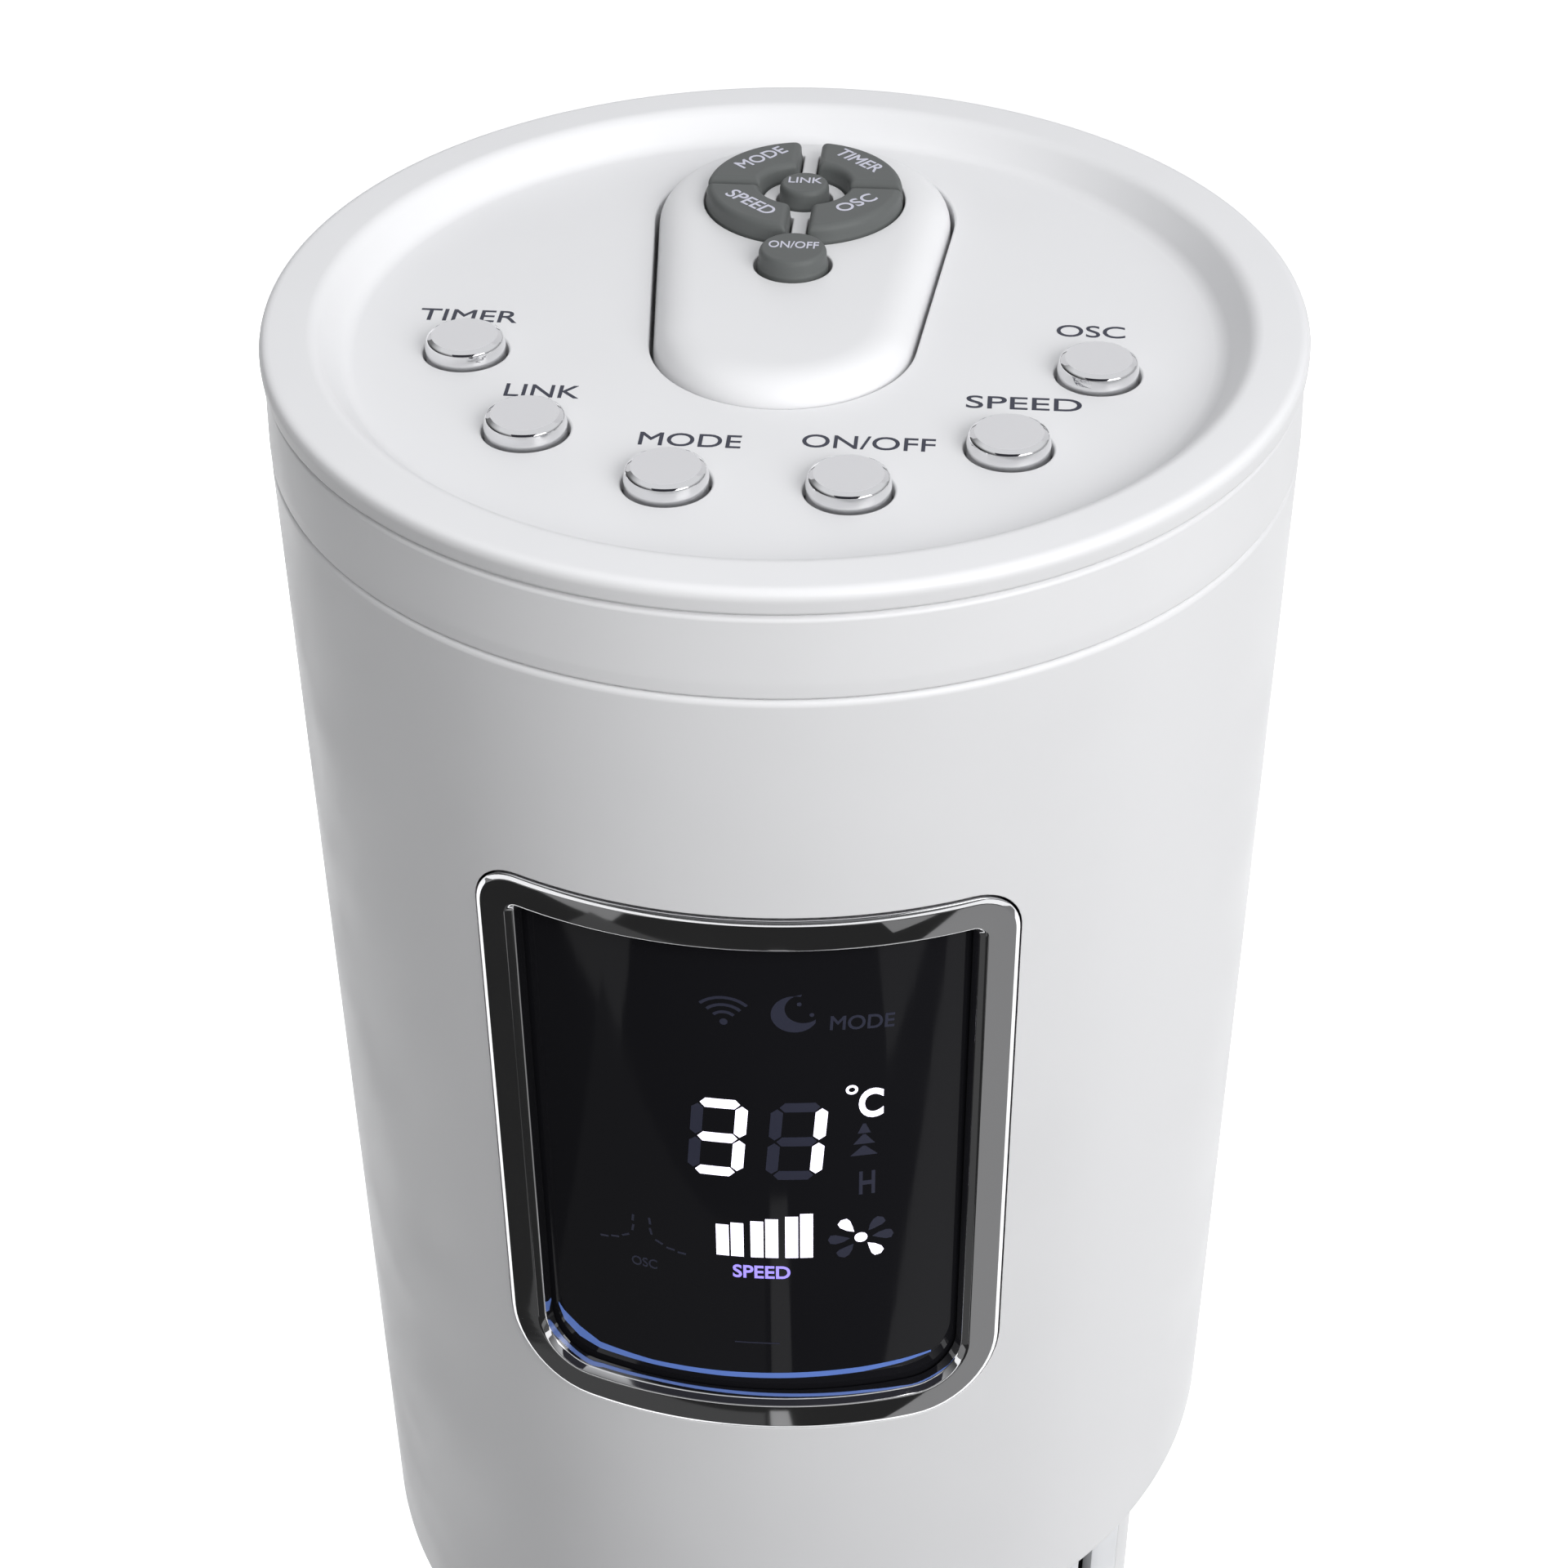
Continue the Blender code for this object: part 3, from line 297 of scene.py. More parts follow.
BLACK = finish("black_moulded_plastic", (0.03, 0.03, 0.033), 0.45, grain=0.3, depth=0.01, mottle=0.1)
GREY = finish("grey_moulded_plastic", (0.40, 0.41, 0.42), 0.45, grain=0.4, depth=0.01)
STEEL = finish("bright_steel", (0.60, 0.60, 0.61), 0.32, 1.0, 0.5, 0.004, mottle=0.05, spread=0.08)
BRONZE = finish("sintered_bronze", (0.50, 0.35, 0.18), 0.42, 1.0, grain=0.2, depth=0.01, mottle=0.1)
NYLON = finish("natural_nylon", (0.76, 0.75, 0.70), 0.5, grain=0.5, depth=0.008, mottle=0.03)
BOARD = finish("green_solder_mask", (0.025, 0.15, 0.07), 0.35, grain=1.2, depth=0.01, mottle=0.2)
NAVY_INK = finish("navy_label_ink", (0.035, 0.038, 0.060), 0.55, grain=0.2, mottle=0.08)
PALE_INK = finish("pale_key_ink", (0.62, 0.62, 0.72), 0.5, grain=0.2, mottle=0.04)
LIT = glowing("lit_display_segment", (0.86, 0.82, 1.0), 1.6)
LIT_VIOLET = glowing("lit_violet_word", (0.30, 0.24, 0.85), 0.9)
FAINT = finish("unlit_display_symbol", (0.030, 0.032, 0.055), 0.4, grain=0.3)
print("finishes:", len(bpy.data.materials))

# %% [markdown]
# ## Tools for shapes
#
# Most of a fan is turned or swept: a line with softened corners goes round an axis or along an outline.
# Building the points directly keeps the faces even, so the highlights run smoothly, where a primitive
# with modifiers would pinch at its corners.

# %% Lines with softened corners, and skins between them
def rounded(corners, steps=5, closed=False):
    """Points along a line with corners given as (a, b, radius) in millimetres. Each corner is eased."""
    line = []
    for i, (a, b, radius) in enumerate(corners):
        here = Vector((a, b))
        at_end = not closed and i in (0, len(corners) - 1)
        if radius == 0 or at_end:
            line.append((a * MM, b * MM))
            continue
        back = Vector(corners[i - 1][:2]) - here
        on = Vector(corners[(i + 1) % len(corners)][:2]) - here
        reach = min(radius / math.tan(back.angle(on) / 2), 0.49 * back.length, 0.49 * on.length)
        start = here + back.normalized() * reach
        end = here + on.normalized() * reach
        for k in range(steps + 1):
            t = k / steps
            point = start.lerp(here, t).lerp(here.lerp(end, t), t)
            line.append((point.x * MM, point.y * MM))
    return line


def around(radius, azimuth):
    """The (x, y) point at an angle from the front towards the right."""
    return radius * math.sin(azimuth), -radius * math.cos(azimuth)


def circle(radius, centre=(0, 0), steps=48, start=0.0, end=math.tau):
    """Points round a circle in millimetres; a full turn leaves out the repeated last point."""
    count = steps if end - start > math.tau - 1e-6 else steps + 1
    turns = [start + (end - start) * i / steps for i in range(count)]
    return [(centre[0] + radius * math.cos(a), centre[1] + radius * math.sin(a)) for a in turns]


def skin(bm, rings, closed):
    """Faces between neighbouring rings of points. An open row of rings gets a cap at each end."""
    rows = [[bm.verts.new(point) for point in ring] for ring in rings]
    spans = list(zip(rows, rows[1:]))
    if closed:
        spans.append((rows[-1], rows[0]))
    else:
        bm.faces.new(list(reversed(rows[0])))
        bm.faces.new(rows[-1])
    for before, after in spans:
        for i in range(len(before)):
            k = (i + 1) % len(before)
            bm.faces.new((before[i], before[k], after[k], after[i]))


def revolve(bm, line, steps=128, centre=(0, 0)):
    """Turns a line of (radius, height) points. It is a ring unless it starts and ends on the axis."""
    solid = line[0][0] == 0
    rim = line[1:-1] if solid else line
    rings = []
    for k in range(steps):
        c = math.cos(math.tau * k / steps)
        s = math.sin(math.tau * k / steps)
        rings.append([(centre[0] + r * c, centre[1] + r * s, z) for r, z in rim])
    levels = [[ring[i] for ring in rings] for i in range(len(rim))]
    skin(bm, levels, closed=not solid)


def link_piece(name, bm, *finishes):
    """Puts the built faces into the scene as a piece."""
    mesh = bpy.data.meshes.new(name)
    bm.to_mesh(mesh)
    bm.free()
    for paint in finishes:
        mesh.materials.append(paint)
    piece = bpy.data.objects.new(name, mesh)
    bpy.context.scene.collection.objects.link(piece)
    return piece


def make_piece(name, bm, *finishes, angle=35):
    """Turns the built faces into a piece that is smooth except at its sharp edges."""
    bmesh.ops.recalc_face_normals(bm, faces=bm.faces)
    piece = link_piece(name, bm, *finishes)
    shade(piece, angle)
    return piece


def shade(piece, angle=35):
    """Smooths a piece except at edges sharper than an angle."""
    mesh = piece.data
    mesh.polygons.foreach_set("use_smooth", [True] * len(mesh.polygons))
    mesh.set_sharp_from_angle(angle=math.radians(angle))


def turned_piece(name, corners, paint, steps=128, centre=(0, 0), ease=5):
    """A piece turned from a line of (radius, height, softening) corners in millimetres."""
    bm = bmesh.new()
    revolve(bm, rounded(corners, ease, closed=corners[0][0] != 0), steps, centre)
    return make_piece(name, bm, paint)


def stand_in(piece, body, slot, *nodes):
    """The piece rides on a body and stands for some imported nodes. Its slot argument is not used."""
    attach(piece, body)
    if nodes:
        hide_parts(*nodes)
    print(piece.name, "faces:", len(piece.data.polygons))


# %% [markdown]
# Holes come from Boolean cuts, whose edges are knife sharp. A real moulding has a small radius there,
# which catches the light. The helper below settles a cut into the mesh and then rounds just the new
# edges.

# %% Cutting, and easing the cut edges
def settle(piece):
    """Makes what the modifiers give the piece's own mesh."""
    bpy.context.view_layer.update()
    shown = piece.evaluated_get(bpy.context.evaluated_depsgraph_get())
    mesh = bpy.data.meshes.new_from_object(shown)
    piece.modifiers.clear()
    piece.data = mesh


def carve(piece, bm, operation="DIFFERENCE"):
    """Cuts the built shape out of a piece, or joins it on."""
    tool = make_piece("carving_tool", bm)
    step = piece.modifiers.new("Carve", "BOOLEAN")
    step.operation = operation
    step.solver = "EXACT"
    step.object = tool
    settle(piece)
    bpy.data.objects.remove(tool)


def even_out(piece):
    """Lets the large faces set the shading, so that they look flat."""
    piece.modifiers.new("Even", "WEIGHTED_NORMAL").keep_sharp = True


def ease_edges(piece, width, wanted, steps=3):
    """Rounds the sharp edges that the test picks out."""
    bm = bmesh.new()
    bm.from_mesh(piece.data)
    edges = [e for e in bm.edges if e.calc_face_angle(0) > math.radians(50) and wanted(e)]
    bmesh.ops.bevel(bm, geom=edges, offset=width * MM, segments=steps, profile=0.5, affect="EDGES")
    bm.to_mesh(piece.data)
    bm.free()
    shade(piece)
    even_out(piece)


def prism(bm, outline, low, high):
    """An upright prism on an outline of (x, y) points, all in millimetres."""
    skin(bm, [[(x * MM, y * MM, z * MM) for x, y in outline] for z in (low, high)], closed=False)


# %% [markdown]
# ## Base
#
# The base is a shallow dome that hides a steel weight. An ellipse turned round the axis gives its soft
# shoulder. The supply cord would leave through a rubber bush at the back, near the floor.

# %% Base cover, bottom plate, feet and cord bush
BASE_RADIUS = 150
BASE_NECK = 60
BASE_TOP = 44
BASE_SHOULDER = 4
BASE_FOOT = 2
BASE_HOLE = 58
BASE_WALL = 2.4
BUSH_MIDDLE = (0, 0.148, 0.0118)
BUSH_HOLE = 0.0046
BUSH_CUT = 0.012
FOOT_RING = 0.122


def dome(inset, count=18):
    """The elliptical line of the dome from its neck to its rim."""
    line = []
    for i in range(count + 1):
        a = math.radians(90) * i / count
        radius = BASE_NECK + (BASE_RADIUS - BASE_NECK - inset) * math.sin(a)
        line.append((radius, BASE_SHOULDER + (BASE_TOP - BASE_SHOULDER - inset) * math.cos(a), 0))
    return line


outside = [(BASE_HOLE, BASE_TOP, 0)] + dome(0) + [(BASE_RADIUS, BASE_FOOT, 0.6)]
inside = [(BASE_RADIUS - BASE_WALL, BASE_FOOT, 0)] + list(reversed(dome(BASE_WALL)))
inside.append((BASE_HOLE, BASE_TOP - BASE_WALL, 0))
base_cover = turned_piece("base_dome", outside + inside, BASE_WHITE, 192)
bush_hole = bmesh.new()
revolve(bush_hole, [(0, BUSH_CUT), (BUSH_HOLE, BUSH_CUT), (BUSH_HOLE, -BUSH_CUT), (0, -BUSH_CUT)], 40)
bush_turn = Matrix.Translation(BUSH_MIDDLE) @ Matrix.Rotation(math.radians(-90), 4, "X")
bush_hole.transform(bush_turn)
carve(base_cover, bush_hole)
shade(base_cover)
stand_in(base_cover, "base", "white_gloss_plastic", "base_cover")

bush = bmesh.new()
bush_line = [(4.2, 1.4, 0.5), (4.2, -8.5, 0), (5.7, -8.5, 0.4)]
bush_line += [(5.7, -10.5, 0.4), (3, -10.5, 0.3), (3, 1.4, 0.5)]
revolve(bush, rounded(bush_line, 4, closed=True), 40)
bush.transform(bush_turn)
stand_in(make_piece("cord_bush", bush, BLACK_RUBBER), "base", "black_rubber", "cord_gland")

foot_line = [(0, 2.7, 0), (9, 2.7, 0.3), (8.4, 0, 0.8), (0, 0, 0)]
for i in range(4):
    place = around(FOOT_RING, math.radians(45 + 90 * i))
    pad = turned_piece(f"foot_pad_{i + 1}", foot_line, BLACK_RUBBER, 40, place)
    stand_in(pad, "base", "black_rubber", f"rubber_foot_{i + 1}")

# %% [markdown]
# ## Lower shroud
#
# A plain sleeve hides the motor between the base and the grille. It turns with the column, so there is
# a thin shadow gap under it. Only its edges need care: each gets a small radius.

# %% Lower shroud
shroud_line = [(75, 124, 0.8), (75, 45.6, 1.2), (72.8, 45.6, 0.3), (72.8, 124, 0.3)]
shroud = turned_piece("motor_shroud", shroud_line, WHITE, 160)
stand_in(shroud, "tower", "white_gloss_plastic", "lower_shroud")

# %% [markdown]
# ## Grille and rear housing
#
# The column wall has upright slots in three rows. A cutter for each slot would leave long thin faces,
# so the wall is drawn as cells instead: a ring of faces joins the outline of each slot to the border of
# its cell, and neighbouring cells share their border. The flat sheet is then wrapped round, thickened
# and softened.

# %% Slotted column walls
COLUMN_RADIUS = 75
COLUMN_FOOT = 124.4
COLUMN_TOP = 772.6
COLUMN_WALL = 2.2
COLUMN_EASE = 0.5
SLOT_HALF = 2.6
SLOT_FOOT = 134
SLOT_TOP = 748
SLOT_RIB = 8
SLOT_ROWS = 3
SLOT_COLUMNS = 14
BORDER = ((1, 0), (1, 1), (0.5, 1), (0, 1), (-0.5, 1), (-1, 1))


def cell_levels(low, high):
    """Heights at which a slot's straight sides have points."""
    return [low + SLOT_HALF + (high - low - 2 * SLOT_HALF) * i / 6 for i in range(7)]


def slot_cell(bm, centre, half, low, high, cell_low, cell_high):
    """One cell of the wall, in millimetres round the curve and up, with a round-ended slot in it."""
    inner = []
    outer = []
    levels = cell_levels(low, high)
    for turn_up in (1, -1):
        rows = levels if turn_up == 1 else list(reversed(levels))
        inner += [(centre + turn_up * SLOT_HALF, z) for z in rows[:-1]]
        outer += [(centre + turn_up * half, z) for z in rows[:-1]]
        edge = cell_high if turn_up == 1 else cell_low
        for k, (across, at_edge) in enumerate(BORDER):
            a = math.radians(30 * k)
            x = centre + turn_up * SLOT_HALF * math.cos(a)
            inner.append((x, rows[-1] + turn_up * SLOT_HALF * math.sin(a)))
            outer.append((centre + turn_up * across * half, edge if at_edge else rows[-1]))
    near = [bm.verts.new((*point, 0)) for point in inner]
    far = [bm.verts.new((*point, 0)) for point in outer]
    for i in range(len(near)):
        k = (i + 1) % len(near)
        bm.faces.new((near[i], near[k], far[k], far[i]))


def grid(bm, across, up):
    """A sheet of four-sided faces on a grid of distances round the curve and heights."""
    rows = [[bm.verts.new((s, z, 0)) for s in across] for z in up]
    for lower, upper in zip(rows, rows[1:]):
        for i in range(len(across) - 1):
            bm.faces.new((lower[i], lower[i + 1], upper[i + 1], upper[i]))


def slotted_cells(bm, left, half):
    """Rows of slotted cells from a left border. Gives back the heights of the points on that border."""
    step = (SLOT_TOP - SLOT_FOOT + SLOT_RIB) / SLOT_ROWS
    heights = []
    for row in range(SLOT_ROWS):
        low = SLOT_FOOT + step * row
        high = low + step - SLOT_RIB
        cell_low = low - SLOT_RIB / 2
        cell_high = high + SLOT_RIB / 2
        heights += [cell_low] + cell_levels(low, high)
        for column in range(SLOT_COLUMNS):
            slot_cell(bm, left + half * (2 * column + 1), half, low, high, cell_low, cell_high)
    return heights + [cell_high]


def plain_margins(bm, start, end, crossings, heights):
    """Plain strips beside, below and above the slots, on the same points as the borders of the cells."""
    left, right = crossings[0], crossings[-1]
    grid(bm, [start + (left - start) * i / 4 for i in range(5)], heights)
    grid(bm, [right + (end - right) * i / 4 for i in range(5)], heights)
    across = [start + (left - start) * i / 4 for i in range(4)]
    across += crossings
    across += [right + (end - right) * i / 4 for i in range(1, 5)]
    grid(bm, across, (COLUMN_FOOT, heights[0]))
    grid(bm, across, (heights[-1], (heights[-1] + COLUMN_TOP) / 2, COLUMN_TOP))


def wrap_on_column(bm):
    """Bends the flat sheet round the column, with its faces looking outwards."""
    for vertex in bm.verts:
        s, z, _ = vertex.co
        vertex.co = (*around(COLUMN_RADIUS * MM, s / COLUMN_RADIUS), z * MM)
    for face in bm.faces:
        face.normal_update()
        middle = face.calc_center_median()
        if face.normal.dot(Vector((middle.x, middle.y, 0))) < 0:
            face.normal_flip()


def thicken(wall):
    """Gives the sheet its thickness inwards and softens its edges."""
    thick = wall.modifiers.new("Thickness", "SOLIDIFY")
    thick.thickness = COLUMN_WALL * MM
    thick.offset = -1
    soft = wall.modifiers.new("Softened", "BEVEL")
    soft.width = COLUMN_EASE * MM
    soft.segments = 2
    soft.limit_method = "ANGLE"
    soft.angle_limit = math.radians(50)
    settle(wall)
    shade(wall)


def column_wall(name, start, end, spread, paint):
    """A slotted wall between two azimuths in degrees. The slots spread over a part of it."""
    degree = math.radians(1) * COLUMN_RADIUS
    half = spread * degree / SLOT_COLUMNS / 2
    left = (start + end) / 2 * degree - spread * degree / 2
    bm = bmesh.new()
    heights = slotted_cells(bm, left, half)
    crossings = [left + half * k / 2 for k in range(4 * SLOT_COLUMNS + 1)]
    plain_margins(bm, start * degree, end * degree, crossings, heights)
    bmesh.ops.remove_doubles(bm, verts=bm.verts, dist=0.01)
    wrap_on_column(bm)
    wall = link_piece(name, bm, paint)
    thicken(wall)
    return wall


SEAM_HALF = 0.15
SEAM = math.degrees(SEAM_HALF / COLUMN_RADIUS)
grille = column_wall("outlet_grille", -72 + SEAM, 72 - SEAM, 126, SILVER)
stand_in(grille, "tower", "silver_plastic", "front_grille")
housing = column_wall("inlet_housing", 72 + SEAM, 288 - SEAM, 168, WHITE)
stand_in(housing, "tower", "white_gloss_plastic", "rear_housing")

# %% [markdown]
# ## Head
#
# The head is two half shells. Their section is the same all round, except that the lower edge sweeps
# down to the left. So the section is drawn again at each angle, with its foot at that angle's own
# height, and a skin joins the sections. The window is cut afterwards.

# %% Head shells
HEAD_RADIUS = 85
HEAD_TOP = 981.1
HEAD_INSIDE = 82.5
HEAD_FOOT_INSIDE = 78
EDGE_LOW = 724
EDGE_SWEEP = 33
SWEEP_START = -72
SWEEP_WIDE = 112


def head_edge(x):
    """Height of the lower edge in millimetres: level on the right, sweeping down to the left."""
    part = min(max((x - SWEEP_START) / SWEEP_WIDE, 0), 1)
    return EDGE_LOW + EDGE_SWEEP * part * part * (3 - 2 * part)


def head_section(azimuth):
    """The section of the head at one azimuth, with an inward flange at its foot."""
    low = head_edge(HEAD_RADIUS * math.sin(azimuth))
    corners = [
        (HEAD_INSIDE, HEAD_TOP, 0),
        (HEAD_RADIUS, HEAD_TOP, 1.6),
        (HEAD_RADIUS, low, 5),
        (HEAD_FOOT_INSIDE, low, 0.8),
        (HEAD_FOOT_INSIDE, low + 2.5, 0.5),
        (HEAD_INSIDE, low + 2.5, 2.5),
    ]
    return [(*around(r, azimuth), z) for r, z in rounded(corners, 6, closed=True)]


def head_shell(name, start, end, steps):
    """A shell of the head between two azimuths in degrees."""
    bm = bmesh.new()
    turns = [math.radians(start + (end - start) * i / steps) for i in range(steps + 1)]
    skin(bm, [head_section(a) for a in turns], closed=False)
    return make_piece(name, bm, WHITE)


WINDOW_HALF = 45.2
WINDOW_TOP = 940.4
WINDOW_FOOT = 823.5
WINDOW_HIGH_CORNER = 8.5
WINDOW_LOW_CORNER = 16
WINDOW_LEAST_CORNER = 1.5


def window_line(inset, corner_steps=12, edge_steps=48):
    """The window outline as (distance round the head, height) in millimetres, set in from its edge."""
    half = WINDOW_HALF - inset
    top = WINDOW_TOP - inset
    foot = WINDOW_FOOT + inset
    high = max(WINDOW_HIGH_CORNER - inset, WINDOW_LEAST_CORNER)
    low = max(WINDOW_LOW_CORNER - inset, WINDOW_LEAST_CORNER)
    corners = (
        (half - high, top - high, high, 0),
        (-half + high, top - high, high, 90),
        (-half + low, foot + low, low, 180),
        (half - low, foot + low, low, 270),
    )
    points = []
    for k, (s, z, radius, start) in enumerate(corners):
        points += circle(radius, (s, z), corner_steps, math.radians(start), math.radians(start + 90))
        if k in (0, 2):
            after = corners[k + 1][0]
            points += [(s + (after - s) * i / edge_steps, points[-1][1]) for i in range(1, edge_steps)]
    return points


def window_tool(inset):
    """A block with the window's outline that reaches through the front of the head."""
    outline = [(HEAD_RADIUS * MM * math.sin(s / HEAD_RADIUS), z * MM) for s, z in window_line(inset)]
    bm = bmesh.new()
    skin(bm, [[(x, y, z) for x, z in outline] for y in (-0.1, -0.05)], closed=False)
    return bm


HEAD_SEAM = math.degrees(SEAM_HALF / HEAD_RADIUS)
front_shell = head_shell("head_front_shell", -100 + HEAD_SEAM, 100 - HEAD_SEAM, 128)
carve(front_shell, window_tool(0))


def on_window_edge(edge):
    """True for the edge of the window opening in the outer face of the head."""
    return all(v.co.xy.length > 84.9 * MM and 0.82 < v.co.z < 0.945 for v in edge.verts)


ease_edges(front_shell, 0.35, on_window_edge, 2)
stand_in(front_shell, "tower", "white_gloss_plastic", "head_front_cover")
rear_shell = head_shell("head_rear_shell", 100 + HEAD_SEAM, 260 - HEAD_SEAM, 104)
stand_in(rear_shell, "tower", "white_gloss_plastic", "head_rear_cover")

# %% [markdown]
# ## Chrome window frame
#
# A plated frame runs round the window. It follows the curve of the head, so its section is swept along
# the window's own outline at several depths instead of along a flat curve.

# %% Window frame
FRAME_SECTION = [
    (0.25, -2.5, 0),
    (0.25, 0.2, 0.35),
    (1.2, 0.5, 0.8),
    (6.1, 0.4, 0.7),
    (7.05, -0.6, 0.6),
    (7.2, -2.5, 0),
]


def on_head(s, z, rise):
    """A window point in metres, laid on the head at a height above its surface in millimetres."""
    return (*around((HEAD_RADIUS + rise) * MM, s / HEAD_RADIUS), z * MM)


frame_steps = [(inset / MM, rise / MM) for inset, rise in rounded(FRAME_SECTION, 5)]
frame_lines = [window_line(inset) for inset, _ in frame_steps]
frame_rings = []
for i in range(len(frame_lines[0])):
    frame_rings.append([on_head(*line[i], rise) for line, (_, rise) in zip(frame_lines, frame_steps)])
bm = bmesh.new()
skin(bm, frame_rings, closed=True)
stand_in(make_piece("window_frame", bm, CHROME, angle=50), "tower", "bezel_chrome", "window_bezel")

# %% [markdown]
# ## Smoked window
#
# The window is a curved plate of near-black plastic. A thin curved wall is crossed with the window's
# outline, which keeps both its curve and its rounded corners exact.

# %% Smoked window
LENS_RADIUS = 81.8
LENS_THICK = 1.8
LENS_TURN = 32
LENS_STEPS = 96
LENS_INSET = 4.5
turns = [math.radians(LENS_TURN * 2 * i / LENS_STEPS - LENS_TURN) for i in range(LENS_STEPS + 1)]
wall = [around(LENS_RADIUS, a) for a in turns]
wall += [around(LENS_RADIUS - LENS_THICK, -a) for a in turns]
bm = bmesh.new()
prism(bm, wall, WINDOW_FOOT, WINDOW_TOP)
lens = make_piece("smoked_window", bm, SMOKE)
carve(lens, window_tool(LENS_INSET), "INTERSECT")
shade(lens)
stand_in(lens, "tower", "smoked_lens", "display_lens")

# %% [markdown]
# ## Display symbols
#
# The symbols glow through the window from a module behind it. They could be drawn in the window's
# finish, but then they would blur when the finish is baked. Here each one is a thin plate, drawn flat,
# cut into narrow strips so that it can bend, and wrapped onto the window.

# %% Drawing flat and wrapping round
PLATE_FOOT = -0.03
PLATE_FACE = 0.05


def plate(bm, outline):
    """A thin flat plate on an outline of (x, y) points in millimetres."""
    prism(bm, outline, PLATE_FOOT, PLATE_FACE)


def arc_points(centre, radius, start, end, steps=24):
    """Points along an arc between two angles in degrees."""
    return circle(radius, centre, steps, math.radians(start), math.radians(end))


def arc_band(bm, centre, inner, outer, start, end):
    plate(bm, arc_points(centre, outer, start, end) + arc_points(centre, inner, end, start))


def ribbon(bm, stops):
    """A strip along stops given as (x, y, half thickness)."""
    plate(bm, [(x, y + half) for x, y, half in stops] + [(x, y - half) for x, y, half in reversed(stops)])


def word(bm, text, centre, width, height, angle=0.0, weight=0.0):
    """Raised letters as wide and high as asked, in millimetres, centred and turned."""
    curve = bpy.data.curves.new("word", "FONT")
    curve.body = text
    curve.extrude = 0.1
    curve.bevel_depth = weight
    curve.bevel_resolution = 0
    curve.resolution_u = 5
    flat = bpy.data.objects.new("word", curve)
    bpy.context.scene.collection.objects.link(flat)
    bpy.context.view_layer.update()
    letters = bpy.data.meshes.new_from_object(flat.evaluated_get(bpy.context.evaluated_depsgraph_get()))
    bpy.data.objects.remove(flat)
    xs = [v.co.x for v in letters.vertices]
    ys = [v.co.y for v in letters.vertices]
    thickness = (PLATE_FACE - PLATE_FOOT) * MM / (2 * (0.1 + weight))
    wide, high = width * MM / (max(xs) - min(xs)), height * MM / (max(ys) - min(ys))
    size = Matrix.Diagonal((wide, high, thickness, 1))
    to_middle = Matrix.Translation((-(max(xs) + min(xs)) / 2, -(max(ys) + min(ys)) / 2, 0))
    lift = (PLATE_FACE + PLATE_FOOT) / 2 * MM
    put = Matrix.Translation((centre[0] * MM, centre[1] * MM, lift))
    letters.transform(put @ Matrix.Rotation(math.radians(angle), 4, "Z") @ size @ to_middle)
    bm.from_mesh(letters)
    bpy.data.meshes.remove(letters)


def wrap_on_window(bm):
    """Cuts the flat drawing into millimetre strips and bends it round the window."""
    bmesh.ops.remove_doubles(bm, verts=bm.verts, dist=0.002 * MM)
    low = math.ceil(min(v.co.x for v in bm.verts) / MM)
    high = math.floor(max(v.co.x for v in bm.verts) / MM)
    for s in range(low, high + 1):
        cut = {"plane_co": (s * MM, 0, 0), "plane_no": (1, 0, 0), "dist": 0.0005 * MM}
        bmesh.ops.bisect_plane(bm, geom=bm.verts[:] + bm.edges[:] + bm.faces[:], **cut)
    for vertex in bm.verts:
        s, z, rise = vertex.co
        vertex.co = (*around(LENS_RADIUS * MM + rise, s / (LENS_RADIUS * MM)), z)


def symbol(name, paint, draw):
    bm = bmesh.new()
    draw(bm)
    wrap_on_window(bm)
    stand_in(make_piece(name, bm, paint), "tower", "smoked_lens")


# %% [markdown]
# A seven-segment figure is one slanted box split by seven bars. Each bar is a six-sided plate. Lit bars
# go into one piece and unlit ones into another, because they differ only in their finish.

# %% Figures, bars and words
DIGIT_HIGH = 17.3
DIGIT_WIDE = 9.3
DIGIT_SLANT = 0.075
BAR_HALF = 1.0
BAR_GAP = 0.35
BAR_POINT = 1.2
LIT_BARS = ("top", "upper_right", "middle", "lower_right", "foot")


def segment(bm, corner, ends):
    """One bar between two corners of the figure's box, with pointed ends and a gap at each."""
    (x0, y0), (x1, y1) = ends
    length = math.hypot(x1 - x0, y1 - y0)
    ux, uy = (x1 - x0) / length, (y1 - y0) / length
    outline = []
    near, far = BAR_GAP, length - BAR_GAP
    point, end = BAR_POINT, length - BAR_POINT
    for along, side in ((near, 0), (point, 1), (end, 1), (far, 0), (end, -1), (point, -1)):
        x = x0 + ux * along - uy * side * BAR_HALF
        y = y0 + uy * along + ux * side * BAR_HALF
        outline.append((corner[0] + x + DIGIT_SLANT * y, corner[1] + y))
    plate(bm, outline)


def figure(bm, corner, wanted):
    """The wanted bars of one seven-segment figure."""
    left, right = BAR_HALF, DIGIT_WIDE - BAR_HALF
    foot, top = BAR_HALF, DIGIT_HIGH - BAR_HALF
    middle = DIGIT_HIGH / 2
    bars = {
        "top": ((left, top), (right, top)),
        "middle": ((left, middle), (right, middle)),
        "foot": ((left, foot), (right, foot)),
        "upper_left": ((left, middle), (left, top)),
        "upper_right": ((right, middle), (right, top)),
        "lower_left": ((left, foot), (left, middle)),
        "lower_right": ((right, foot), (right, middle)),
    }
    for name, ends in bars.items():
        if wanted(name):
            segment(bm, corner, ends)


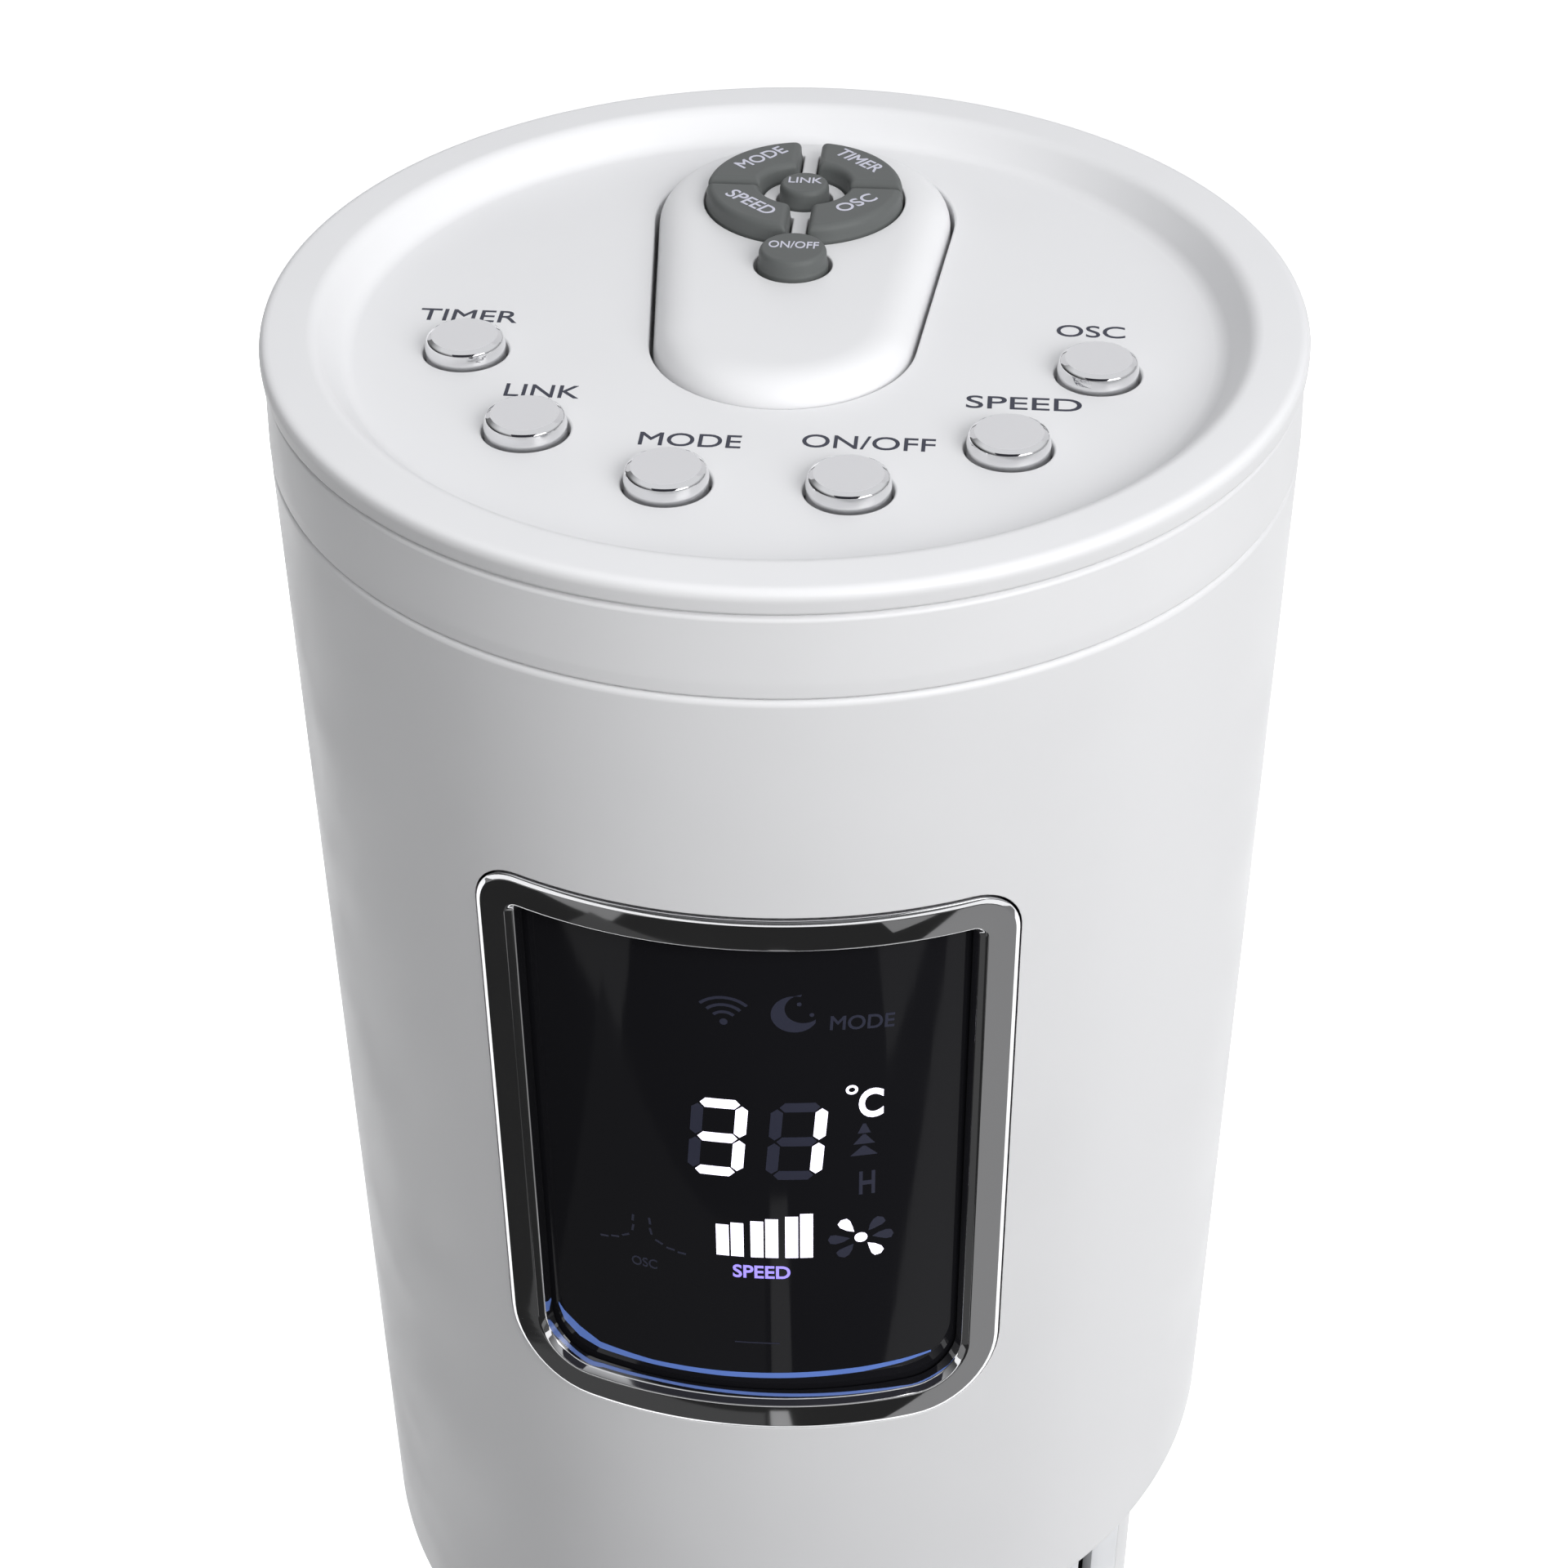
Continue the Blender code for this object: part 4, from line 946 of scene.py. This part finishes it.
FIRST_DIGIT = (-9.9, 882.0)
SECOND_DIGIT = (3.1, 881.7)
FAN_MIDDLE = (19.2, 867.2)
WAVES_MIDDLE = (-3.1, 916.0)
DEGREE_MIDDLE = (17.4, 901.3)
TREE_MIDDLE = 19.5
SWING_MIDDLE = -18.3
PETAL = ((1.9, 0), (3.0, 0.75), (4.3, 1.15), (5.2, 0.95), (5.6, 0), (5.2, -0.95), (4.3, -1.0), (3.0, -0.5))
SWING_MARKS = ((1.5, 868.6, 95), (1.6, 866.2, 100), (3.0, 864.0, 150), (5.0, 862.9, 168), (7.0, 862.3, 172))


def petal(bm, angle):
    """One leaf of the fan sign, pointed at the hub and round outside."""
    a = math.radians(angle)
    outline = []
    for reach, side in PETAL:
        x = reach * math.cos(a) - side * math.sin(a)
        y = reach * math.sin(a) + side * math.cos(a)
        outline.append((FAN_MIDDLE[0] + x, FAN_MIDDLE[1] + y))
    plate(bm, outline)


def draw_lit(bm):
    """The figures 31, the degree sign and C, six speed bars and half of the fan sign."""
    figure(bm, FIRST_DIGIT, lambda name: name in LIT_BARS)
    figure(bm, SECOND_DIGIT, lambda name: name.endswith("right"))
    word(bm, "C", (20.6, 898.0), 4.1, 6.4, weight=0.03)
    arc_band(bm, DEGREE_MIDDLE, 0.55, 1.0, 0, 180)
    arc_band(bm, DEGREE_MIDDLE, 0.55, 1.0, 180, 360)
    for k, left in enumerate((-5.26, -2.76, 0.58, 3.08, 6.42, 8.92)):
        top = 870.5 + 0.62 * k
        plate(bm, [(left, 863.2), (left + 2.15, 863.2), (left + 2.15, top), (left, top)])
    plate(bm, arc_points(FAN_MIDDLE, 1.1, 0, 345, 23))
    petal(bm, 128)
    petal(bm, -52)


def draw_faint(bm):
    """The unlit bars, waves, moon, words, tree, H, petals and the swing sign."""
    figure(bm, FIRST_DIGIT, lambda name: name not in LIT_BARS)
    figure(bm, SECOND_DIGIT, lambda name: not name.endswith("right"))
    plate(bm, arc_points((-3.1, 916.2), 0.65, 0, 345, 23))
    for radius in (2.0, 3.5, 5.0):
        arc_band(bm, WAVES_MIDDLE, radius, radius + 0.55, 45, 135)
    plate(bm, arc_points((8.2, 918.2), 3.8, 75, 330, 30) + arc_points((9.6, 919.3), 3.0, 310, 95, 30))
    for x, y in ((8.9, 920.3), (10.9, 918.0)):
        plate(bm, arc_points((x, y), 0.4, 0, 315, 7))
    word(bm, "MODE", (19.0, 915.8), 10.4, 3.0, angle=-3, weight=0.015)
    word(bm, "H", (20.1, 880.0), 2.7, 5.3, weight=0.02)
    for foot, half in ((886.4, 2.3), (889.0, 1.8), (891.4, 1.1)):
        branch = ((-half, 0), (half, 0), (0.25, 2.1), (-0.25, 2.1))
        plate(bm, [(TREE_MIDDLE + x, foot + y) for x, y in branch])
    for angle in (0, 48, 180, 228):
        petal(bm, angle)
    for side in (-1, 1):
        for x, y, lean in SWING_MARKS:
            c, s = math.cos(math.radians(lean)), math.sin(math.radians(lean))
            box = [(-0.75, -0.2), (0.75, -0.2), (0.75, 0.2), (-0.75, 0.2)]
            points = [(SWING_MIDDLE + side * (x + a * c - b * s), y + a * s + b * c) for a, b in box]
            plate(bm, points if side == 1 else list(reversed(points)))
    word(bm, "OSC", (-18.1, 858.3), 4.6, 2.2, weight=0.01)
    plate(bm, [(-2.5, 841.8), (5.3, 841.8), (5.3, 842.05), (-2.5, 842.05)])


symbol("lit_symbols", LIT, draw_lit)
symbol("unlit_symbols", FAINT, draw_faint)
symbol("speed_word", LIT_VIOLET, lambda bm: word(bm, "SPEED", (2.35, 859.6), 9.8, 3.1, weight=0.02))

# %% [markdown]
# The display's light also runs down inside the clear window and leaves along its lower edge as a soft
# blue line. That light is painted here: a glowing ribbon of changing thickness laid on the window,
# brighter than the unlit symbols and dimmer than the figures.

# %% Painted light line along the window's foot
# The ribbon's glow is painted light, standing in for the display's light reflected in the window's edge.
PAINTED_GLOW = glowing("painted_blue_light_glow", (0.10, 0.18, 0.50), 0.34)
GLOW_STOPS = [
    (-35.6, 840.6, 0.3),
    (-34.6, 838.2, 1.2),
    (-31.6, 835.6, 1.3),
    (-27.5, 833.8, 0.8),
    (-17.4, 833.3, 0.55),
    (-5.0, 833.4, 0.6),
    (6.0, 833.7, 0.65),
    (20.0, 834.2, 0.6),
    (27.0, 834.8, 0.45),
    (32.2, 835.7, 0.2),
]
symbol("light_line", PAINTED_GLOW, lambda bm: ribbon(bm, GLOW_STOPS))

# %% [markdown]
# ## Control deck
#
# The lid of the head is one moulding: a raised lip, a sunk deck, six button holes and a nest for the
# remote. It is turned first, then the nest is joined on and hollowed, and then the holes are cut. The
# new edges get a small radius so that they catch the light.

# %% Lid with its nest and button holes
DECK_TOP = 994.6
NEST_BACK = (41.3, 26.2)
NEST_FRONT = (-2.9, 21.9)
NEST_FLOOR = 985.2
NEST_WALL = 2
CUT_TOP = 1005
HOLE_RADIUS = 7.0
HOLE_SPAN = (988.6, 995.6)
BUTTON_PLACES = ((16.1, 49.9), (47.9, 50.6), (79.1, 52.1))
BUTTON_NAMES = (("on_off", "mode"), ("speed", "link"), ("osc", "timer"))
LID_LINE = [
    (0, DECK_TOP, 0),
    (71.6, DECK_TOP, 3.2),
    (76.0, 1000, 3.2),
    (85.1, 1000, 2.6),
    (84.9, 996.0, 0.8),
    (83.5, 995.3, 0.3),
    (84.5, 994.9, 1.2),
    (HEAD_RADIUS, 984, 12),
    (HEAD_RADIUS, 981.4, 0.5),
    (82.1, 981.4, 0.3),
    (82.1, 975.4, 0.3),
    (79.9, 975.4, 0.3),
    (79.9, 996.6, 0.5),
    (77, 996.9, 0.5),
    (72.4, 992.2, 0.5),
    (0, 992.2, 0),
]


def nest_outline(shift):
    """The tapered round-ended outline of the nest, moved outwards by a distance in millimetres."""
    (back_y, back), (front_y, front) = NEST_BACK, NEST_FRONT
    lean = math.asin((back - front) / (back_y - front_y))
    far = circle(back + shift, (0, back_y), 40, -lean, math.pi + lean)
    return far + circle(front + shift, (0, front_y), 40, math.pi + lean, math.tau - lean)


lid = turned_piece("deck_lid", LID_LINE, WHITE, 176, ease=7)
tub = bmesh.new()
prism(tub, nest_outline(NEST_WALL), NEST_FLOOR - NEST_WALL, DECK_TOP - 0.6)
carve(lid, tub, "UNION")
hollow = bmesh.new()
prism(hollow, nest_outline(0), NEST_FLOOR, CUT_TOP)
carve(lid, hollow)
holes = bmesh.new()
for degrees, radius in BUTTON_PLACES:
    for side in (1, -1):
        middle = around(radius, side * math.radians(degrees))
        prism(holes, circle(HOLE_RADIUS, middle, 56), *HOLE_SPAN)
carve(lid, holes)


def on_deck(edge):
    """True for the new edges in the face of the deck, round the nest and the holes."""
    return all(abs(v.co.z - DECK_TOP * MM) < 0.01 * MM and v.co.xy.length < 0.0715 for v in edge.verts)


ease_edges(lid, 0.45, on_deck)
stand_in(lid, "tower", "white_gloss_plastic", "top_cap")

# %% [markdown]
# ## Buttons
#
# Each button is a plated cap: a flat satin face inside a mirror-bright bevel. It is one turned piece
# with two finishes, and the flat face is picked out by its height.

# %% Six plated buttons
BUTTON_FACE = DECK_TOP + 2.9
BUTTON_LINE = [
    (0, BUTTON_FACE, 0),
    (5.35, BUTTON_FACE, 0.25),
    (6.25, BUTTON_FACE - 0.5, 0.9),
    (6.55, BUTTON_FACE - 2.0, 0.6),
    (6.55, 991.8, 0),
    (8.2, 991.8, 0.2),
    (8.2, 990.4, 0.2),
    (2.4, 990.4, 0.2),
    (2.4, 985.4, 0.2),
    (0, 985.4, 0),
]
for (degrees, radius), names in zip(BUTTON_PLACES, BUTTON_NAMES):
    for side, name in zip((1, -1), names):
        x, y = around(radius * MM, side * math.radians(degrees))
        button = turned_piece(f"{name}_press_cap", BUTTON_LINE, PLATED, 72, (x, y), ease=6)
        button.data.materials.append(BRUSHED)
        for face in button.data.polygons:
            if face.center.z > (BUTTON_FACE - 0.02) * MM:
                face.material_index = 1
        stand_in(button, f"{name}_button", "plated_plastic", f"{name}_button")

# %% [markdown]
# ## Remote
#
# The remote is a smooth pebble in two shells. Its shoulder is a wide, soft curve, so the case is built
# as a stack of outlines that draw in towards the top. The keys come up through holes cut to their own
# outlines.

# %% Key outlines
KEY_TOP = 1001.8
KEY_FOOT = 992.6
KEY_RING_Y = 40.6
KEY_POWER_Y = 16.2
RING_INNER = 7.6
RING_OUTER = 17.2
RING_GAP = 1.6
RING_KEYS = (("timer", 1, 1), ("mode", -1, 1), ("speed", -1, -1), ("osc", 1, -1))
ROUND_KEYS = (("link", KEY_RING_Y, 4.5), ("on_off", KEY_POWER_Y, 6.0))


def ring_key_outline(sx, sy, inset):
    """One quarter of the key ring, set in by a distance, with softened corners, in millimetres."""
    inner, outer = RING_INNER + inset, RING_OUTER - inset
    across, along = RING_GAP + inset, 0.45 + inset
    corner = 2.6 - inset
    line = circle(outer, (0, 0), 16, math.asin(along / outer), math.acos(across / outer))
    line += reversed(circle(inner, (0, 0), 10, math.asin(along / inner), math.acos(across / inner)))
    soft = [(x, y, corner if i in (0, 16, 17, 27) else 0) for i, (x, y) in enumerate(line)]
    return [(x / MM * sx, (y / MM * sy) + KEY_RING_Y) for x, y in rounded(soft, 6, closed=True)]


def half_ring_outline(side, grow=0.3):
    """The opening that a left or right pair of ring keys shares, anticlockwise, in millimetres."""
    inner, outer = RING_INNER - grow, RING_OUTER + grow
    across = RING_GAP - grow
    far, near = math.acos(across / outer), math.acos(across / inner)
    line = circle(outer, (0, 0), 32, -far, far)
    line += reversed(circle(inner, (0, 0), 20, -near, near))
    soft = [(x, y, 1.3 if i in (0, 32, 33, 53) else 0) for i, (x, y) in enumerate(line)]
    points = [(x / MM * side, y / MM) for x, y in rounded(soft, 4, closed=True)]
    return points if side > 0 else list(reversed(points))


# %% [markdown]
# The case holds a circuit board and a coin cell, so both shells are hollow with a thin wall. The key
# openings are cut right through, and the lower shell has a round opening for its battery door.

# %% Upper case
CASE_EDGE = -0.7
CASE_TOP = 998.6
CASE_WALL = 2
SHOULDER_IN = 7
SHOULDER_DOWN = 5.6
SHOULDER_STEPS = 14
OPENING_TOP = 1000.6
DOOR_MIDDLE = (0, -1)
DOOR_RADIUS = 12.3


def case_rings(steps):
    """Nest outlines at pairs of shift and height in millimetres."""
    return [[(x * MM, y * MM, z * MM) for x, y in nest_outline(shift)] for shift, z in steps]


shoulder = []
for i in range(SHOULDER_STEPS + 1):
    t = i / SHOULDER_STEPS
    shoulder.append((CASE_EDGE - SHOULDER_IN * t * t, CASE_TOP - SHOULDER_DOWN * (1 - t) ** 2))
bm = bmesh.new()
skin(bm, case_rings([(CASE_EDGE - 0.3, 989.85), (CASE_EDGE, 990.2)] + shoulder), closed=False)
upper_case = make_piece("remote_top_shell", bm, WHITE)
bm = bmesh.new()
prism(bm, nest_outline(CASE_EDGE - CASE_WALL), 988.7, CASE_TOP - 3.2)
carve(upper_case, bm)
bm = bmesh.new()
for side in (1, -1):
    prism(bm, [(x, y + KEY_RING_Y) for x, y in half_ring_outline(side)], KEY_FOOT, OPENING_TOP)
for name, y, radius in ROUND_KEYS:
    prism(bm, circle(1.1 * radius, (0, y), 48), KEY_FOOT, OPENING_TOP)
carve(upper_case, bm)


def in_case_top(edge):
    """True for the edges of the openings in the flat top of the case."""
    return all(abs(v.co.z - CASE_TOP * MM) < 0.01 * MM for v in edge.verts)


ease_edges(upper_case, 0.3, in_case_top)
stand_in(upper_case, "remote", "white_gloss_plastic", "remote_upper_case")

# %% Lower case
bm = bmesh.new()
foot_line = ((1.2, 985.5), (0.5, 985.7), (0.1, 986.2), (0, 986.8), (0, 989.2), (0.3, 989.55))
skin(bm, case_rings([(CASE_EDGE - inset, z) for inset, z in foot_line]), closed=False)
lower_case = make_piece("remote_back_shell", bm, WHITE)
bm = bmesh.new()
prism(bm, nest_outline(CASE_EDGE - CASE_WALL), 986.9, 990.7)
prism(bm, circle(DOOR_RADIUS, DOOR_MIDDLE, 64), 984.5, 986.95)
carve(lower_case, bm)
shade(lower_case)
stand_in(lower_case, "remote", "white_gloss_plastic", "remote_lower_case")

# %% [markdown]
# Rubber keys have full, rounded shoulders and a skirt that spreads where it meets the case. Each key is
# a stack of its own outline, drawn in step by step on the way up, which gives both.

# %% Six rubber keys
def key_steps(spread, shoulder_in, shoulder_down):
    """Inset and height up the side of a key: a spread skirt, a straight side and a full shoulder."""
    steps = [(0, KEY_FOOT), (0, 998.7), (0.5 * spread, 999), (0.85 * spread, 999.4), (spread, 999.9)]
    for i in range(1, 10):
        a = math.radians(10 * i)
        inset = spread + shoulder_in * (1 - math.cos(a))
        steps.append((inset, KEY_TOP - shoulder_down * (1 - math.sin(a))))
    return steps


def rubber_key(name, outline, steps):
    """A key from a function that gives its outline at an inset."""
    bm = bmesh.new()
    skin(bm, [[(x * MM, y * MM, z * MM) for x, y in outline(inset)] for inset, z in steps], closed=False)
    key = make_piece(f"{name}_rubber_key", bm, KEY_RUBBER, angle=50)
    even_out(key)
    stand_in(key, f"remote_{name}_key", "key_rubber", f"remote_{name}_key")


for name, sx, sy in RING_KEYS:
    rubber_key(name, lambda inset: ring_key_outline(sx, sy, inset), key_steps(0.2, 1.3, 1.5))
for name, y, radius in ROUND_KEYS:
    rubber_key(name, lambda inset: circle(radius - inset, (0, y), 56), key_steps(0.05 * radius, 0.8, 1.2))

# %% [markdown]
# ## Lettering
#
# The words are pad printed: a film of ink a few hundredths of a millimetre thick. They are made as very
# thin raised plates, in plain generic words that say what each key does.

# %% Words on the deck and on the keys
DECK_WORD_HIGH = 3.9
DECK_WORDS = (
    ("TIMER", (-52.6, 1.7), 16.4),
    ("LINK", (-36.7, -22.1), 12.0),
    ("MODE", (-11.6, -35.4), 15.9),
    ("ON/OFF", (16.0, -34.2), 20.6),
    ("SPEED", (39.6, -20.3), 18.2),
    ("OSC", (50.0, 3.9), 11.2),
)
KEY_WORDS = (
    ("MODE", "mode", (-8.4, 9.2), 10.4, 2.9, 46),
    ("TIMER", "timer", (9.0, 9.2), 10.4, 2.9, -43),
    ("SPEED", "speed", (-8.5, -8.3), 10.8, 2.9, -42),
    ("OSC", "osc", (9.4, -7.3), 8.0, 2.9, 44),
    ("LINK", "link", (0.1, 0.7), 5.8, 2.1, 0),
    ("ON/OFF", "on_off", (0.1, KEY_POWER_Y - KEY_RING_Y + 0.8), 8.4, 2.4, 0),
)


def printed(name, text, layout, surface, paint):
    """A printed word, laid out as word() takes it, on a flat face at a height in millimetres."""
    bm = bmesh.new()
    word(bm, text, *layout)
    bmesh.ops.remove_doubles(bm, verts=bm.verts, dist=0.002 * MM)
    bmesh.ops.translate(bm, verts=bm.verts, vec=(0, 0, surface * MM))
    return make_piece(name, bm, paint)


for text, centre, width in DECK_WORDS:
    label = "deck_word_" + text.lower().replace("/", "_")
    words = printed(label, text, (centre, width, DECK_WORD_HIGH, 0, 0.004), DECK_TOP, NAVY_INK)
    stand_in(words, "tower", "white_gloss_plastic")
for text, name, (x, y), width, height, angle in KEY_WORDS:
    layout = ((x, y + KEY_RING_Y), width, height, angle, 0.01)
    words = printed(f"key_word_{name}", text, layout, KEY_TOP, PALE_INK)
    stand_in(words, f"remote_{name}_key", "key_rubber")

# %% [markdown]
# ## Inner parts
#
# The shapes of the motors, gears, boards and plates are right as packed. They only need real finishes,
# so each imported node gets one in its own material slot.

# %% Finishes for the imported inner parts
INNER = {
    STEEL: ("ballast_ring", "swivel_retainer", "oscillation_motor", "fan_motor", "motor_mount_plate")
    + ("impeller_top_pin", "motor_shaft", "remote_coin_cell"),
    GREY: ("base_bottom_plate", "turntable", "column_top_plate", "head_mount_plate"),
    NYLON: ("swivel_ring_gear", "swivel_washer", "oscillation_pinion"),
    BLACK: ("scroll_wall", "air_tongue", "impeller", "display_module", "ir_receiver"),
    BLACK_RUBBER: ("impeller_coupling",),
    BOARD: ("display_board", "power_board", "button_board", "remote_circuit_board"),
    BRONZE: ("top_bearing",),
    WHITE: ("remote_battery_door",),
}
for paint, names in INNER.items():
    for name in names:
        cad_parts[name].material_slots[0].material = paint
        shade(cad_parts[name])
print("inner parts:", sum(len(names) for names in INNER.values()))
